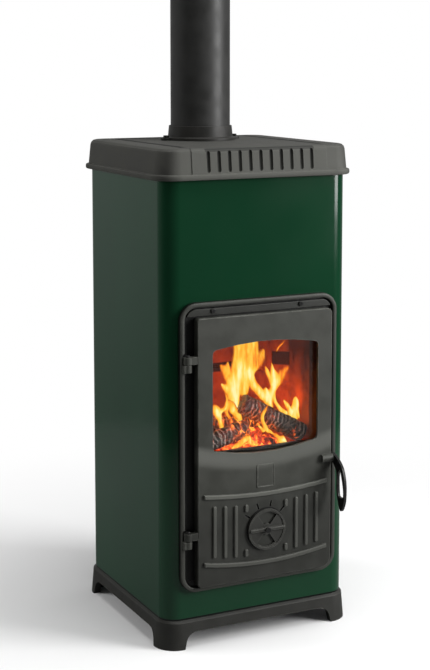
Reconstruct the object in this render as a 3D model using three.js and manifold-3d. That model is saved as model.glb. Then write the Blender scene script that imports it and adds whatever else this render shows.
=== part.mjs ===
// A free-standing wood stove: an enamelled steel jacket on a cast base, under a cast hob with a
// flue pipe, round a brick-lined firebox that is closed by a cast door with a glass window.
// Millimetres, +Z up. The stove's front faces -Y, the floor is at Z = 0, and the origin lies under
// the middle of the whole stove, lever included.
import * as THREE from "three";
import { mergeVertices } from "three/addons/utils/BufferGeometryUtils.js";
import Module from "manifold-3d";

const wasm = await Module();
wasm.setup();

// ---------------------------------------------------------------- general
const FIT = 0.3; // gap between pieces that touch
const RUN = 0.4; // extra radius of a hole round a pin that turns in it
const PASS = 5; // how far a cutting solid runs past the face that it opens
const ROOT = 1; // how far a joined solid is sunk into its neighbour
const ROUND_END = 0.45; // radius of a round-ended bar's corners, as a share of its width
const ROUND_SIDES = 20; // sides of a small turned piece
const CORNER_STEPS = 5; // chords in a quarter-round corner
const SMALL_STEPS = 2; // the same, where the corner is small

// ---------------------------------------------------------------- body
const BODY_WIDTH = 400;
const BODY_DEPTH = 388;
const BODY_HEIGHT = 849;
const BODY_CORNER = 34;
const JACKET_WALL = 2;
const JACKET_SEAT = 9; // how far the jacket stands up inside the hob's lip
const BACK_FLANGE = 50; // how far the jacket turns in behind, from each side
const FLOOR_SHEET = 3;

// ---------------------------------------------------------------- base
const BASE_HEIGHT = 56;
const BASE_OVERHANG = 4.5; // at its top edge
const BASE_FLARE = 4.7; // further out at the floor
const BASE_BEVEL = 4;
const BASE_WALL = 6; // inside the body's outline
const BASE_FLANGE = 6; // thickness of the ledge that carries the body
const BASE_LEDGE = 26; // how far the ledge reaches in
const FOOT_LENGTH = 47; // along each side at the floor, from the outer corner
const ARCH_HEIGHT = 32;
const ARCH_LEAN = 4; // how far a foot's inner edge leans outwards
const ARCH_CURVE = 16; // height of the round shoulder
const ARCH_RUN = 25; // length of the round shoulder

// ---------------------------------------------------------------- hob
const HOB_HEIGHT = 60;
const HOB_PLATE = 8;
const HOB_EDGE = 10; // radius of its upper edge
const HOB_EDGE_STEPS = 3;
const LIP_OVERHANG = 13;
const LIP_HEIGHT = 11;
const LIP_ROUND = 3.5;
const SKIRT_OVERHANG = 8; // where it meets the lip
const SKIRT_DRAFT = 6; // how far it leans in over the hob's height
const SKIRT_WALL = 4; // inside the body's outline
const PANEL_WIDTH = 290; // raised middle panel on the front
const PANEL_PROUD = 1.5;
const FLUTE_COUNT = 11;
const FLUTE_PITCH = 22.2;
const FLUTE_WIDTH = 8;
const FLUTE_DEPTH = 4;
const FLUTE_LOW = 13; // above the hob's lower edge
const FLUTE_HIGH = 5; // below the hob's upper face
const GROOVE_WIDTH = 5;
const GROOVE_DEPTH = 2.5;
const GROOVE_BACK = 36; // from the body's back
const GROOVE_FRONT = 26; // from the body's front

// ---------------------------------------------------------------- flue
const FLUE_DIAMETER = 122;
const FLUE_WALL = 2;
const FLUE_LENGTH = 330;
const FLUE_FROM_BACK = 127.5; // flue axis, from the body's back
const FLUE_SIDES = 36;
const FLUE_LEDGE = 3; // how far the collar's ledge reaches in under the pipe's wall
const COLLAR_HEIGHT = 29;
const COLLAR_WALL = 3.5; // at its rim
const COLLAR_TAPER = 2; // extra wall at its foot
const COLLAR_FOOT = 5; // height of its flange and of its inner ledge
const COLLAR_BLEND = 2; // rise from the flange to the wall
const COLLAR_FLANGE = 6; // how far its flange stands out
const EAR_REACH = 77; // bolt axis, from the flue axis
const EAR_WIDTH = 22;
const BOLT_RADIUS = 3;
const BOLT_HEAD = 6; // radius over the corners
const BOLT_HEAD_HEIGHT = 4.5;
const BOLT_TAIL = 16; // below the ear

// ---------------------------------------------------------------- firebox
const SHELL_WALL = 4;
const SIDE_AIR = 38; // air gap between jacket and shell at each side
const BACK_AIR = 42;
const FRONT_AIR = 2.3;
const BRICK = 25;
const BRICK_JOINT = 0.3;
const BRICK_FRONT = 25; // from the shell's inner front to the side bricks
const BRICK_COLUMN = 80; // length of the tall front brick on each side
const HEARTH_DROP = 55; // from the window's lower corners to the hearth's face
const HEARTH = 12;
const HEARTH_BED = 8; // depth of the rebate that holds the grate
const LEDGE = 15; // width of the ledges that carry the hearth
const LEDGE_HEIGHT = 10;
const GRATE_SIZE = 150;
const GRATE_LAP = 6; // how far the grate overlaps its hole on each side
const GRATE_SLOTS = 7;
const GRATE_SLOT = 9;
const GRATE_BORDER = 14;
const BAFFLE = 20;
const BAFFLE_DROP = 22; // from the doorway's head to the baffle's underside
const SMOKE_GAP = 76; // from the shell's inner front to the baffle
const GUARD_HEIGHT = 46;
const GUARD_THICK = 8;
const GUARD_INSET = 1; // from the shell's inner front
const GUARD_SIDE = 8; // gap between the guard's end and the side brick

// ---------------------------------------------------------------- fire
// Each log's ends and radius. An end is given as its share of the half-width between the side
// bricks, its distance from the shell's inner front, and its height over the hearth.
const LOGS = {
  left: { from: [-0.826, 36, 52], to: [-0.023, 38, 77], radius: 21 },
  right: { from: [-0.061, 54, 124], to: [0.926, 33, 52], radius: 22 },
  rear: { from: [-0.727, 88, 72], to: [0.36, 84, 80], radius: 20 },
};
const LOG_SIDES = 12;
const LOG_TAPER = 0.88;
const EMBER_SIDE = 18; // from the side bricks to the heap
const EMBER_DEPTH = 120;
const EMBER_HEIGHT = 64;
const EMBER_FRONT = 22; // from the shell's inner front
const EMBER_PROFILE = [[0, 0], [1, 0], [0.88, 0.35], [0.6, 0.8], [0, 1]];

// ---------------------------------------------------------------- ash pan
const PAN_SIDE = 23; // from the doorway's edge to the pan's side
const PAN_BACK = 50; // from the shell's inner back
const PAN_FRONT = 21; // from the shell's inner front
const PAN_HEIGHT = 68;
const PAN_WALL = 1.5;
const PAN_LIP = 14;
const PAN_LIP_WIDTH = 90;

// ---------------------------------------------------------------- rear panel
const REAR_SHEET = 2;
const REAR_SIDE = 32; // from the body's side
const REAR_LOW = 16; // above the base
const REAR_HIGH = 14; // below the hob
const VENT_ROWS = 6;
const VENT_PITCH = 16;
const VENT_WIDTH = 200;
const VENT_HEIGHT = 6;
const VENT_MARGIN = 50; // from the panel's end to its nearest vent
const SCREW_INSET = 9;
const SCREW_RISE = 18;
const SCREW_RADIUS = 2;
const SCREW_HEAD = 4.6;
const SCREW_HEAD_HEIGHT = 2.6;
const SCREW_REACH = 10; // length of a rear screw's shank

// ---------------------------------------------------------------- door frame
// Heights on the front are measured outwards from the jacket's face.
const FRAME_LEFT = 28; // from the body's side
const FRAME_RIGHT = 32;
const FRAME_LOW = 56; // above the base
const FRAME_HIGH = 230.5; // below the hob
const FRAME_CORNER = 34;
const FRAME_PLATE = 3;
const BEAD_WIDTH = 9;
const BEAD_HEIGHT = 12;
const BEAD_ROUND = 3;
const BAND_GAP = 3; // round the raised band over the leaf
const BAND_HEIGHT = 9;
const SPIGOT_WALL = 6; // of the neck that reaches the shell through the jacket
const FRAME_SCREW_LEFT = 69; // from the frame's left edge
const FRAME_SCREW_RIGHT = 81;
const FRAME_SCREW_DROP = 17.5; // from the frame's top
const FRAME_SCREW_TAIL = 2; // past the shell's front

// ---------------------------------------------------------------- door leaf
const LEAF_LEFT = 30.5; // from the frame's left edge
const LEAF_RIGHT = 16.5;
const LEAF_LOW = 10;
const LEAF_HIGH = 28.5;
const LEAF_CORNERS = [10, 22, 12, 6]; // low left, low right, high right, high left
const LEAF_BACK = 5;
const LEAF_FACE = 22;
const LEAF_PLATE = 6;
const LEAF_BEVEL = 1.5;
const RIM_WIDTH = 14;
const DOORWAY_INSET = 13.5; // from the leaf's edge to the doorway
const SEAL_INSET = 7; // from the leaf's edge to the middle of its rope seal
const SEAL_WIDTH = 8;
const SEAL_BEVEL = 2.3;
const SEAL_GROOVE = 7; // depth in the rim
const WINDOW_SIDE = 31.5;
const WINDOW_HIGH = 62; // from the leaf's top to the window's upper corners
const WINDOW_LOW = 263.5; // from the leaf's foot to the window's lower corners
const WINDOW_CORNER = 12;
const WINDOW_CROWN = 9;
const WINDOW_SAG = 11;
const RIB_END = 12; // from the leaf's side to a long rib's end
const RIB_THICK = 8.5;
const RIB_PROUD = 5;
const UPPER_RIB = 179; // above the leaf's foot, at its ends
const UPPER_RIB_SAG = 9;
const LOWER_RIB = 46;
const LOWER_RIB_SAG = 12.5;
const BAR_COUNT = 4; // upright ribs on each side, the inner one broken by the air disc
const BAR_FIRST = 43.5; // from the leaf's middle
const BAR_PITCH = 22.8;
const BAR_WIDTH = 7.5;
const BAR_PROUD = 4;
const RELIEF_BEVEL = 1.5; // on the ribs, bars and grip
const BAR_TOP_GAP = 18; // below the upper long rib
const BAR_FOOT_GAP = 14; // above the lower long rib
const STUB_LENGTH = 15;

// ---------------------------------------------------------------- hinges
const HINGE_X = 12.7; // from the frame's left edge
const HINGE_OUT = 15;
const KNUCKLE_RADIUS = 8;
const KNUCKLE_HEIGHT = 14;
const KNUCKLE_GAP = 1.5;
const PIN_RADIUS = 4.5;
const PIN_HEAD = 3.5; // above the leaf's knuckle
const ARM_THICK = 12;
const ARM_LAP = 2; // how far an arm runs into the leaf
const UPPER_HINGE = 87; // joint between its knuckles, below the leaf's top
const LOWER_HINGE = 95.5; // above the leaf's foot
const NOTCH_GAP = 1.5; // round the leaf's knuckle, in the frame's bead

// ---------------------------------------------------------------- window glass
const GLASS = 4;
const GLASS_LAP = 10; // past the window's edge
const GASKET = 1.7;
const GASKET_WIDTH = 8;
const CLIP = 2;
const CLIP_HEIGHT = 20;
const CLIP_LAP = 7; // over the glass
const CLIP_END = 14; // from the glass's side to the clip's end
const CLIP_BOSS = 5.5;
const CLIP_SCREW_INSET = 18; // from the clip's end
const CLIP_SCREW_REACH = 9;
const CLIP_HOLE_COVER = 2.5; // metal left in front of a clip screw's blind hole

// ---------------------------------------------------------------- lever
const LEVER_PLATE = 5;
const LEVER_GAP = 1.3; // beside the leaf's edge
const PIVOT_Z = 224; // above the leaf's foot
const PIVOT_OUT = 24;
const LEVER_HEAD = 9;
const LEVER_PIN = 4;
const LEVER_PIN_HEAD = 6.5;
const LEVER_PIN_CAP = 2.6;
const LEVER_PIN_DEPTH = 20; // inside the leaf's boss
const BOSS_RADIUS = 8;
const BOSS_LENGTH = 24;
const NOSE_REACH = 18.5; // from the pivot towards the stove
const NOSE_TOP = -3; // from the pivot
const NOSE_HEIGHT = 7;
const KEEPER_HEIGHT = 9;
const KEEPER_OUT = 7.4;
const KEEPER_GAP = 0.8; // over the nose
// The lever's outline beside its pivot, outwards and upwards from it: down its rear, up its front.
const LEVER_REAR = [[-4, -8], [6, -14], [15, -26], [16, -38], [16, -57], [19, -76], [25, -93]];
const LEVER_FRONT = [[33, -102], [41, -93], [46.5, -78], [48, -57], [46, -37], [39, -17], [26, -4], [8, 6]];
const SLOT_FRONT = [[29, -19], [35, -34], [40.5, -52], [42, -68], [40, -74]];
const SLOT_REAR = [[26, -74], [22.5, -66], [21, -52], [21, -38], [23, -24]];

// ---------------------------------------------------------------- air disc
const AIR_Z = 99; // above the leaf's foot
const AIR_RADIUS = 40.5;
const AIR_PLATE = 4;
const AIR_RIM = 4;
const AIR_RIM_PROUD = 1.7;
const AIR_SIDES = 32;
const PORT_IN = 11; // radii of the disc's windows and of the leaf's ports
const PORT_OUT = 34;
const PORT_SWEEP = 74; // degrees
const PORT_ANGLE = 87; // middle of the disc's upper window, degrees from +X
const AIR_TRAVEL = 99; // degrees from shut to open
const GRIP_HEIGHT = 7;
const GRIP_PROUD = 5;
const AIR_SCREW = 3;
const AIR_SCREW_HEAD = 6;
const AIR_SCREW_TAIL = 1; // past its nut
const AIR_SCREW_HEAD_HEIGHT = 3;
const AIR_NUT = 7;
const AIR_NUT_HEIGHT = 5;
const TICK_COUNT = 4;
const TICK_FIRST = 45; // degrees
const TICK_STEP = 33;
const TICK_IN = 3; // gap from the disc's edge
const TICK_LENGTH = 13;
const TICK_WIDTH = 3.5;
const TICK_DEPTH = 2;

// ================================================================ derived places
const FRONT = -BODY_DEPTH / 2;
const BACK = BODY_DEPTH / 2;
const HOB_BOTTOM = BASE_HEIGHT + BODY_HEIGHT;
const HOB_TOP = HOB_BOTTOM + HOB_HEIGHT;
const FLUE_Y = BACK - FLUE_FROM_BACK;
const FLUE_RADIUS = FLUE_DIAMETER / 2;
const FLUE_HOLE = FLUE_RADIUS - FLUE_LEDGE;

const body = rect(-BODY_WIDTH / 2, BODY_WIDTH / 2, FRONT, BACK, BODY_CORNER);
const frame = rect(
  body.left + FRAME_LEFT,
  body.right - FRAME_RIGHT,
  BASE_HEIGHT + FRAME_LOW,
  HOB_BOTTOM - FRAME_HIGH,
  FRAME_CORNER,
);
const leaf = rect(
  frame.left + LEAF_LEFT,
  frame.right - LEAF_RIGHT,
  frame.low + LEAF_LOW,
  frame.high - LEAF_HIGH,
  LEAF_CORNERS,
);
const doorway = grown(leaf, -DOORWAY_INSET);
const leafX = (leaf.left + leaf.right) / 2;
const windowPane = {
  left: leaf.left + WINDOW_SIDE,
  right: leaf.right - WINDOW_SIDE,
  low: leaf.low + WINDOW_LOW,
  high: leaf.high - WINDOW_HIGH,
};
const hingeX = frame.left + HINGE_X;
const hingeZs = [leaf.low + LOWER_HINGE, leaf.high - UPPER_HINGE];
const airZ = leaf.low + AIR_Z;
const pivotZ = leaf.low + PIVOT_Z;
const leverX = leaf.right + LEVER_GAP;
const plateBack = LEAF_FACE - LEAF_PLATE;

const shell = {
  left: body.left + JACKET_WALL + SIDE_AIR,
  right: body.right - JACKET_WALL - SIDE_AIR,
  front: FRONT + JACKET_WALL + FRONT_AIR,
  back: BACK - JACKET_WALL - BACK_AIR,
  low: BASE_HEIGHT + FIT + FLOOR_SHEET + FIT,
  floor: doorway.low,
  high: HOB_TOP - HOB_PLATE - FIT,
};
const inside = {
  left: shell.left + SHELL_WALL,
  right: shell.right - SHELL_WALL,
  front: shell.front + SHELL_WALL,
  back: shell.back - SHELL_WALL,
};
const hearthTop = windowPane.low - HEARTH_DROP;
const baffleLow = doorway.high - BAFFLE_DROP;

// ================================================================ shapes
// A rectangle given by its edges. Radii run low left, low right, high right, high left.
function rect(left, right, low, high, radii) {
  return { left, right, low, high, radii: Array.isArray(radii) ? radii : Array(4).fill(radii) };
}

// The same rectangle with each edge moved out by the amount, its corners staying concentric.
function grown(r, by) {
  const least = 1;
  const radii = r.radii.map((q) => Math.max(q + by, least));
  return rect(r.left - by, r.right + by, r.low - by, r.high + by, radii);
}

function corners(path, { left, right, low, high, radii: [a, b, c, d] }) {
  const quarter = Math.PI / 2;
  path.absarc(left + a, low + a, a, 2 * quarter, 3 * quarter);
  path.absarc(right - b, low + b, b, 3 * quarter, 4 * quarter);
  path.absarc(right - c, high - c, c, 0, quarter);
  path.absarc(left + d, high - d, d, quarter, 2 * quarter);
  path.closePath();
  return path;
}

const outline = (r) => corners(new THREE.Shape(), r);

// The band between two rectangles.
function ring(outer, inner) {
  const shape = outline(outer);
  shape.holes.push(corners(new THREE.Path(), inner));
  return shape;
}

// A sector of a flat ring round the point, angles in degrees.
function sector(x, y, inner, outer, middle, sweep) {
  const from = THREE.MathUtils.degToRad(middle - sweep / 2);
  const to = THREE.MathUtils.degToRad(middle + sweep / 2);
  const shape = new THREE.Shape();
  shape.absarc(x, y, outer, from, to, false);
  shape.absarc(x, y, inner, to, from, true);
  shape.closePath();
  return shape;
}

// The window's outline, with a crowned head and a sagging foot, moved out by the amount.
function paneShape(by = 0) {
  const r = WINDOW_CORNER + Math.max(by, 0);
  const left = windowPane.left - by;
  const right = windowPane.right + by;
  const low = windowPane.low - by;
  const high = windowPane.high + by;
  const shape = new THREE.Shape();
  shape.moveTo(left + r, low);
  shape.quadraticCurveTo(leafX, low - 2 * WINDOW_SAG, right - r, low);
  shape.quadraticCurveTo(right, low, right, low + r);
  shape.lineTo(right, high - r);
  shape.quadraticCurveTo(right, high, right - r, high);
  shape.quadraticCurveTo(leafX, high + 2 * WINDOW_CROWN, left + r, high);
  shape.quadraticCurveTo(left, high, left, high - r);
  shape.lineTo(left, low + r);
  shape.quadraticCurveTo(left, low, left + r, low);
  return shape;
}

const ribHalf = (leaf.right - leaf.left) / 2 - RIB_END;
const sagAt = (x, sag) => sag * (1 - (x / ribHalf) ** 2);
const upperRibAt = (x) => leaf.low + UPPER_RIB - sagAt(x, UPPER_RIB_SAG);
const lowerRibAt = (x) => leaf.low + LOWER_RIB - sagAt(x, LOWER_RIB_SAG);

// A long rib that sags towards the middle of the leaf.
function sagShape(z, sag) {
  const half = RIB_THICK / 2;
  const shape = new THREE.Shape();
  shape.moveTo(leafX - ribHalf, z - half);
  shape.quadraticCurveTo(leafX, z - half - 2 * sag, leafX + ribHalf, z - half);
  shape.lineTo(leafX + ribHalf, z + half);
  shape.quadraticCurveTo(leafX, z + half - 2 * sag, leafX - ribHalf, z + half);
  shape.closePath();
  return shape;
}

// An arched gap between two feet, half as wide at the floor as given.
function archShape(half) {
  const shoulder = half - ARCH_LEAN;
  const rise = ARCH_HEIGHT - ARCH_CURVE;
  const pull = shoulder - ARCH_RUN / 5;
  const shape = new THREE.Shape();
  shape.moveTo(-half, -PASS);
  shape.lineTo(half, -PASS);
  shape.lineTo(half, 0);
  shape.lineTo(shoulder, rise);
  shape.quadraticCurveTo(pull, ARCH_HEIGHT, shoulder - ARCH_RUN, ARCH_HEIGHT);
  shape.lineTo(ARCH_RUN - shoulder, ARCH_HEIGHT);
  shape.quadraticCurveTo(-pull, ARCH_HEIGHT, -shoulder, rise);
  shape.lineTo(-half, 0);
  shape.closePath();
  return shape;
}

const points = (list) => list.map(([x, y]) => new THREE.Vector2(x + PIVOT_OUT, y + pivotZ));

// The lever seen from its side: outwards along X and upwards along Y.
function leverShape() {
  const shape = new THREE.Shape();
  const rear = points(LEVER_REAR);
  shape.moveTo(rear[0].x, rear[0].y);
  shape.splineThru(rear.slice(1));
  shape.splineThru(points(LEVER_FRONT));
  shape.closePath();
  const slot = new THREE.Path();
  const near = points(SLOT_FRONT);
  slot.moveTo(near[0].x, near[0].y);
  slot.splineThru(near.slice(1));
  slot.splineThru(points(SLOT_REAR));
  slot.closePath();
  shape.holes.push(slot);
  return shape;
}

// ================================================================ solids
function solid(geometry) {
  geometry.deleteAttribute("normal");
  geometry.deleteAttribute("uv");
  const merged = mergeVertices(geometry, 1e-4);
  return new wasm.Manifold(
    new wasm.Mesh({
      numProp: 3,
      vertProperties: merged.attributes.position.array,
      triVerts: new Uint32Array(merged.index.array),
    }),
  );
}

const join = (first, ...rest) => rest.reduce((sum, next) => sum.add(next), first);
const cut = (first, ...rest) => rest.reduce((left, next) => left.subtract(next), first);

// A shape raised along +Z from 0, with its edges bevelled or rounded inside its outline.
function prism(shape, height, bevel = 0, bevelSteps = 1, curveSegments = CORNER_STEPS) {
  const geometry = new THREE.ExtrudeGeometry(shape, {
    depth: height - 2 * bevel,
    bevelEnabled: bevel > 0,
    bevelSize: bevel,
    bevelThickness: bevel,
    bevelOffset: -bevel,
    bevelSegments: bevelSteps,
    curveSegments,
  });
  return geometry.translate(0, 0, bevel);
}

// A plan shape between two heights.
const slab = (shape, low, high, ...edge) => solid(prism(shape, high - low, ...edge).translate(0, 0, low));

// A shape drawn on the front, X across and Y up, between two distances out from the group's face.
function relief(shape, from, to, ...edge) {
  const geometry = prism(shape, to - from, ...edge);
  return solid(geometry.rotateX(Math.PI / 2).translate(0, -from, 0));
}

// A bevelled relief that stands out from a face by the height and is rooted under it.
const raised = (shape, face, height, curveSegments) =>
  relief(shape, face - 2 * RELIEF_BEVEL, face + height, RELIEF_BEVEL, 1, curveSegments);

// A shape drawn beside the stove, X outwards and Y up, between two places along X.
function sidePlate(shape, from, to, ...edge) {
  const turn = new THREE.Matrix4().makeBasis(
    new THREE.Vector3(0, -1, 0),
    new THREE.Vector3(0, 0, 1),
    new THREE.Vector3(-1, 0, 0),
  );
  return solid(prism(shape, to - from, ...edge).applyMatrix4(turn).translate(to, 0, 0));
}

function block(x0, x1, y0, y1, z0, z1) {
  const geometry = new THREE.BoxGeometry(x1 - x0, y1 - y0, z1 - z0);
  return solid(geometry.translate((x0 + x1) / 2, (y0 + y1) / 2, (z0 + z1) / 2));
}

// A round rod that starts at the origin and runs along +X, +Y or +Z.
function rod(axis, radius, length, sides = ROUND_SIDES) {
  const geometry = new THREE.CylinderGeometry(radius, radius, length, sides);
  geometry.translate(0, length / 2, 0);
  if (axis === "x") geometry.rotateZ(-Math.PI / 2);
  if (axis === "z") geometry.rotateX(Math.PI / 2);
  return solid(geometry);
}

// A ring turned about Z from a closed profile of radius and height, listed up its outside.
function turned(profile, sides) {
  const loop = [...profile, profile[0]].map(([r, z]) => new THREE.Vector2(r, z));
  return solid(new THREE.LatheGeometry(loop, sides).rotateX(Math.PI / 2));
}

// Spreads an upright prism outwards by spread(z), which gives its walls draft.
function drafted(geometry, r, spread) {
  const place = geometry.attributes.position;
  const q = r.radii[0];
  for (let i = 0; i < place.count; i++) {
    const x = place.getX(i);
    const y = place.getY(i);
    const dx = x - THREE.MathUtils.clamp(x, r.left + q, r.right - q);
    const dy = y - THREE.MathUtils.clamp(y, r.low + q, r.high - q);
    const share = spread(place.getZ(i)) / Math.max(Math.hypot(dx, dy), 1);
    place.setXY(i, x + dx * share, y + dy * share);
  }
  return solid(geometry);
}

// ================================================================ finishes
const finish = (color, roughness, metalness, more = {}) =>
  new THREE.MeshStandardMaterial({ color, roughness, metalness, ...more });
const greenEnamel = () => finish(0x1c3d29, 0.3, 0.1);
const castIron = () => finish(0x43443f, 0.75, 0.5);
const darkSteel = () => finish(0x1b1a18, 0.6, 0.6);
const blackCast = () => finish(0x0d0d0d, 0.5, 0.5);
const galvanised = () => finish(0x55585a, 0.5, 0.8);
const fireBrick = () => finish(0xa8623c, 0.95, 0);
const rope = () => finish(0x8a8780, 1, 0);
const charredWood = () => finish(0x1d1410, 0.95, 0);
const embers = () => finish(0x5a1a08, 1, 0, { emissive: 0xff5010, emissiveIntensity: 0.6 });
const ceramicGlass = () => finish(0x332a22, 0.05, 0, { transparent: true, opacity: 0.35 });

function piece(name, made, material, x = 0, y = 0, z = 0) {
  const { vertProperties, triVerts } = made.getMesh();
  const geometry = new THREE.BufferGeometry();
  geometry.setAttribute("position", new THREE.BufferAttribute(vertProperties, 3));
  geometry.setIndex(new THREE.BufferAttribute(triVerts, 1));
  geometry.computeVertexNormals();
  const mesh = new THREE.Mesh(geometry, material);
  mesh.name = name;
  mesh.position.set(x, y, z);
  return mesh;
}

// ================================================================ base and casing
function baseFrame() {
  const edge = grown(body, BASE_OVERHANG);
  const sunk = prism(outline(edge), BASE_HEIGHT + 2 * PASS, BASE_BEVEL).translate(0, 0, -2 * PASS);
  const outer = drafted(sunk, edge, (z) => BASE_FLARE * (1 - z / BASE_HEIGHT));
  const reach = BODY_WIDTH + BODY_DEPTH;
  const outside = BASE_OVERHANG + BASE_FLARE - FOOT_LENGTH;
  const across = relief(archShape(BODY_WIDTH / 2 + outside), -reach, reach);
  const along = relief(archShape(BODY_DEPTH / 2 + outside), -reach, reach).rotate([0, 0, 90]);
  const hollow = slab(outline(grown(body, -BASE_WALL)), -3 * PASS, BASE_HEIGHT - BASE_FLANGE);
  const hole = slab(outline(grown(body, -BASE_LEDGE)), 0, BASE_HEIGHT + PASS);
  const below = block(-reach, reach, -reach, reach, -4 * PASS, 0);
  return cut(outer, across, along, hollow, hole, below);
}

function floorPanel() {
  const low = BASE_HEIGHT + FIT;
  return slab(outline(grown(body, -JACKET_WALL - FIT)), low, low + FLOOR_SHEET);
}

// The steel wrap: front and sides in one sheet, turned in behind.
function jacket() {
  const low = BASE_HEIGHT + FIT;
  const high = HOB_BOTTOM + JACKET_SEAT - FIT;
  const wrap = slab(ring(body, grown(body, -JACKET_WALL)), low, high);
  const back = block(body.left + BACK_FLANGE, body.right - BACK_FLANGE, 0, BACK + PASS, low - PASS, high + PASS);
  const opening = relief(outline(grown(doorway, SPIGOT_WALL + FIT)), -FRONT - 2 * PASS, -FRONT + PASS);
  const screwHoles = rearScrewPlaces().map(([x, z]) =>
    rod("y", SCREW_RADIUS + RUN, 2 * PASS).translate([x, BACK - PASS, z]),
  );
  const frameHoles = frameScrewPlaces().map(([x, z]) =>
    rod("y", SCREW_RADIUS + RUN, 2 * PASS).translate([x, FRONT - PASS, z]),
  );
  return cut(wrap, back, opening, ...screwHoles, ...frameHoles);
}

const rear = {
  left: body.left + REAR_SIDE,
  right: body.right - REAR_SIDE,
  low: BASE_HEIGHT + REAR_LOW,
  high: HOB_BOTTOM - REAR_HIGH,
};

function rearScrewPlaces() {
  const xs = [rear.left + SCREW_INSET, rear.right - SCREW_INSET];
  const zs = [rear.low + SCREW_RISE, rear.high - SCREW_RISE];
  return zs.flatMap((z) => xs.map((x) => [x, z]));
}

// The sheet that closes the back, with a bank of vents at its foot and one at its head.
function rearPanel() {
  const from = BACK + FIT;
  const sheet = block(rear.left, rear.right, from, from + REAR_SHEET, rear.low, rear.high);
  const vent = (z) =>
    block(-VENT_WIDTH / 2, VENT_WIDTH / 2, from - PASS, from + REAR_SHEET + PASS, z, z + VENT_HEIGHT);
  const vents = [];
  for (let i = 0; i < VENT_ROWS; i++) {
    vents.push(vent(rear.low + VENT_MARGIN + i * VENT_PITCH));
    vents.push(vent(rear.high - VENT_MARGIN - VENT_HEIGHT - i * VENT_PITCH));
  }
  const holes = rearScrewPlaces().map(([x, z]) =>
    rod("y", SCREW_RADIUS + RUN, 2 * PASS).translate([x, BACK - PASS, z]),
  );
  return cut(sheet, ...vents, ...holes);
}

// A pan-head screw along Y, its shank running from the head's underside at the origin.
function screw(reach, towardsFront) {
  const shank = rod("y", SCREW_RADIUS, reach + FIT, 12).translate([0, -reach, 0]);
  const head = rod("y", SCREW_HEAD, SCREW_HEAD_HEIGHT, 16);
  const made = join(head, shank);
  return towardsFront ? made.rotate([0, 0, 180]) : made;
}

// ================================================================ hob and flue
function flutes(edge) {
  const lean = Math.atan(SKIRT_DRAFT / HOB_HEIGHT);
  const low = HOB_BOTTOM + FLUTE_LOW;
  const high = HOB_TOP - FLUTE_HIGH;
  const middle = (low + high) / 2;
  const radius = FLUTE_WIDTH / 2;
  const face = edge.low + (SKIRT_DRAFT * (middle - HOB_BOTTOM)) / HOB_HEIGHT;
  const first = (-FLUTE_PITCH * (FLUTE_COUNT - 1)) / 2;
  const made = [];
  for (let i = 0; i < FLUTE_COUNT; i++) {
    const flute = new THREE.CapsuleGeometry(radius, high - low - FLUTE_WIDTH, 2, 10);
    flute.rotateX(Math.PI / 2 - lean);
    flute.translate(first + i * FLUTE_PITCH, face - radius + FLUTE_DEPTH, middle);
    made.push(solid(flute));
  }
  return made;
}

// The groove that frames the hob's middle on its left, back and right.
function hobGroove() {
  const half = PANEL_WIDTH / 2;
  const low = HOB_TOP - GROOVE_DEPTH;
  const high = HOB_TOP + PASS;
  const front = FRONT + GROOVE_FRONT;
  const back = BACK - GROOVE_BACK;
  return [
    block(-half - GROOVE_WIDTH, -half, front, back + GROOVE_WIDTH, low, high),
    block(half, half + GROOVE_WIDTH, front, back + GROOVE_WIDTH, low, high),
    block(-half, half, back, back + GROOVE_WIDTH, low, high),
  ];
}

function hobTop() {
  const lip = slab(outline(grown(body, LIP_OVERHANG)), HOB_BOTTOM, HOB_BOTTOM + LIP_HEIGHT, LIP_ROUND, 2);
  const edge = grown(body, SKIRT_OVERHANG);
  const lean = (z) => (-SKIRT_DRAFT * (z - HOB_BOTTOM)) / HOB_HEIGHT;
  const skirt = (by) => {
    const r = grown(edge, by);
    const raised = prism(outline(r), HOB_HEIGHT, HOB_EDGE, HOB_EDGE_STEPS);
    return drafted(raised.translate(0, 0, HOB_BOTTOM), r, lean);
  };
  const half = PANEL_WIDTH / 2;
  const middle = block(-half, half, 2 * FRONT, FRONT + GROOVE_FRONT, HOB_BOTTOM + LIP_HEIGHT / 2, HOB_TOP + PASS);
  const panel = skirt(PANEL_PROUD).intersect(middle);
  const seat = slab(outline(grown(body, FIT)), HOB_BOTTOM - PASS, HOB_BOTTOM + JACKET_SEAT);
  const hollow = slab(outline(grown(body, -SKIRT_WALL)), HOB_BOTTOM - PASS, HOB_TOP - HOB_PLATE);
  const flue = rod("z", FLUE_HOLE, HOB_HEIGHT, FLUE_SIDES).translate([0, FLUE_Y, HOB_TOP - HOB_HEIGHT + PASS]);
  const bolts = [-EAR_REACH, EAR_REACH].map((x) =>
    rod("z", BOLT_RADIUS + RUN, HOB_HEIGHT).translate([x, FLUE_Y, HOB_TOP - HOB_HEIGHT + PASS]),
  );
  const cast = join(skirt(0), panel, lip);
  return cut(cast, ...flutes(grown(edge, PANEL_PROUD)), ...hobGroove(), seat, hollow, flue, ...bolts);
}

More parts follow.
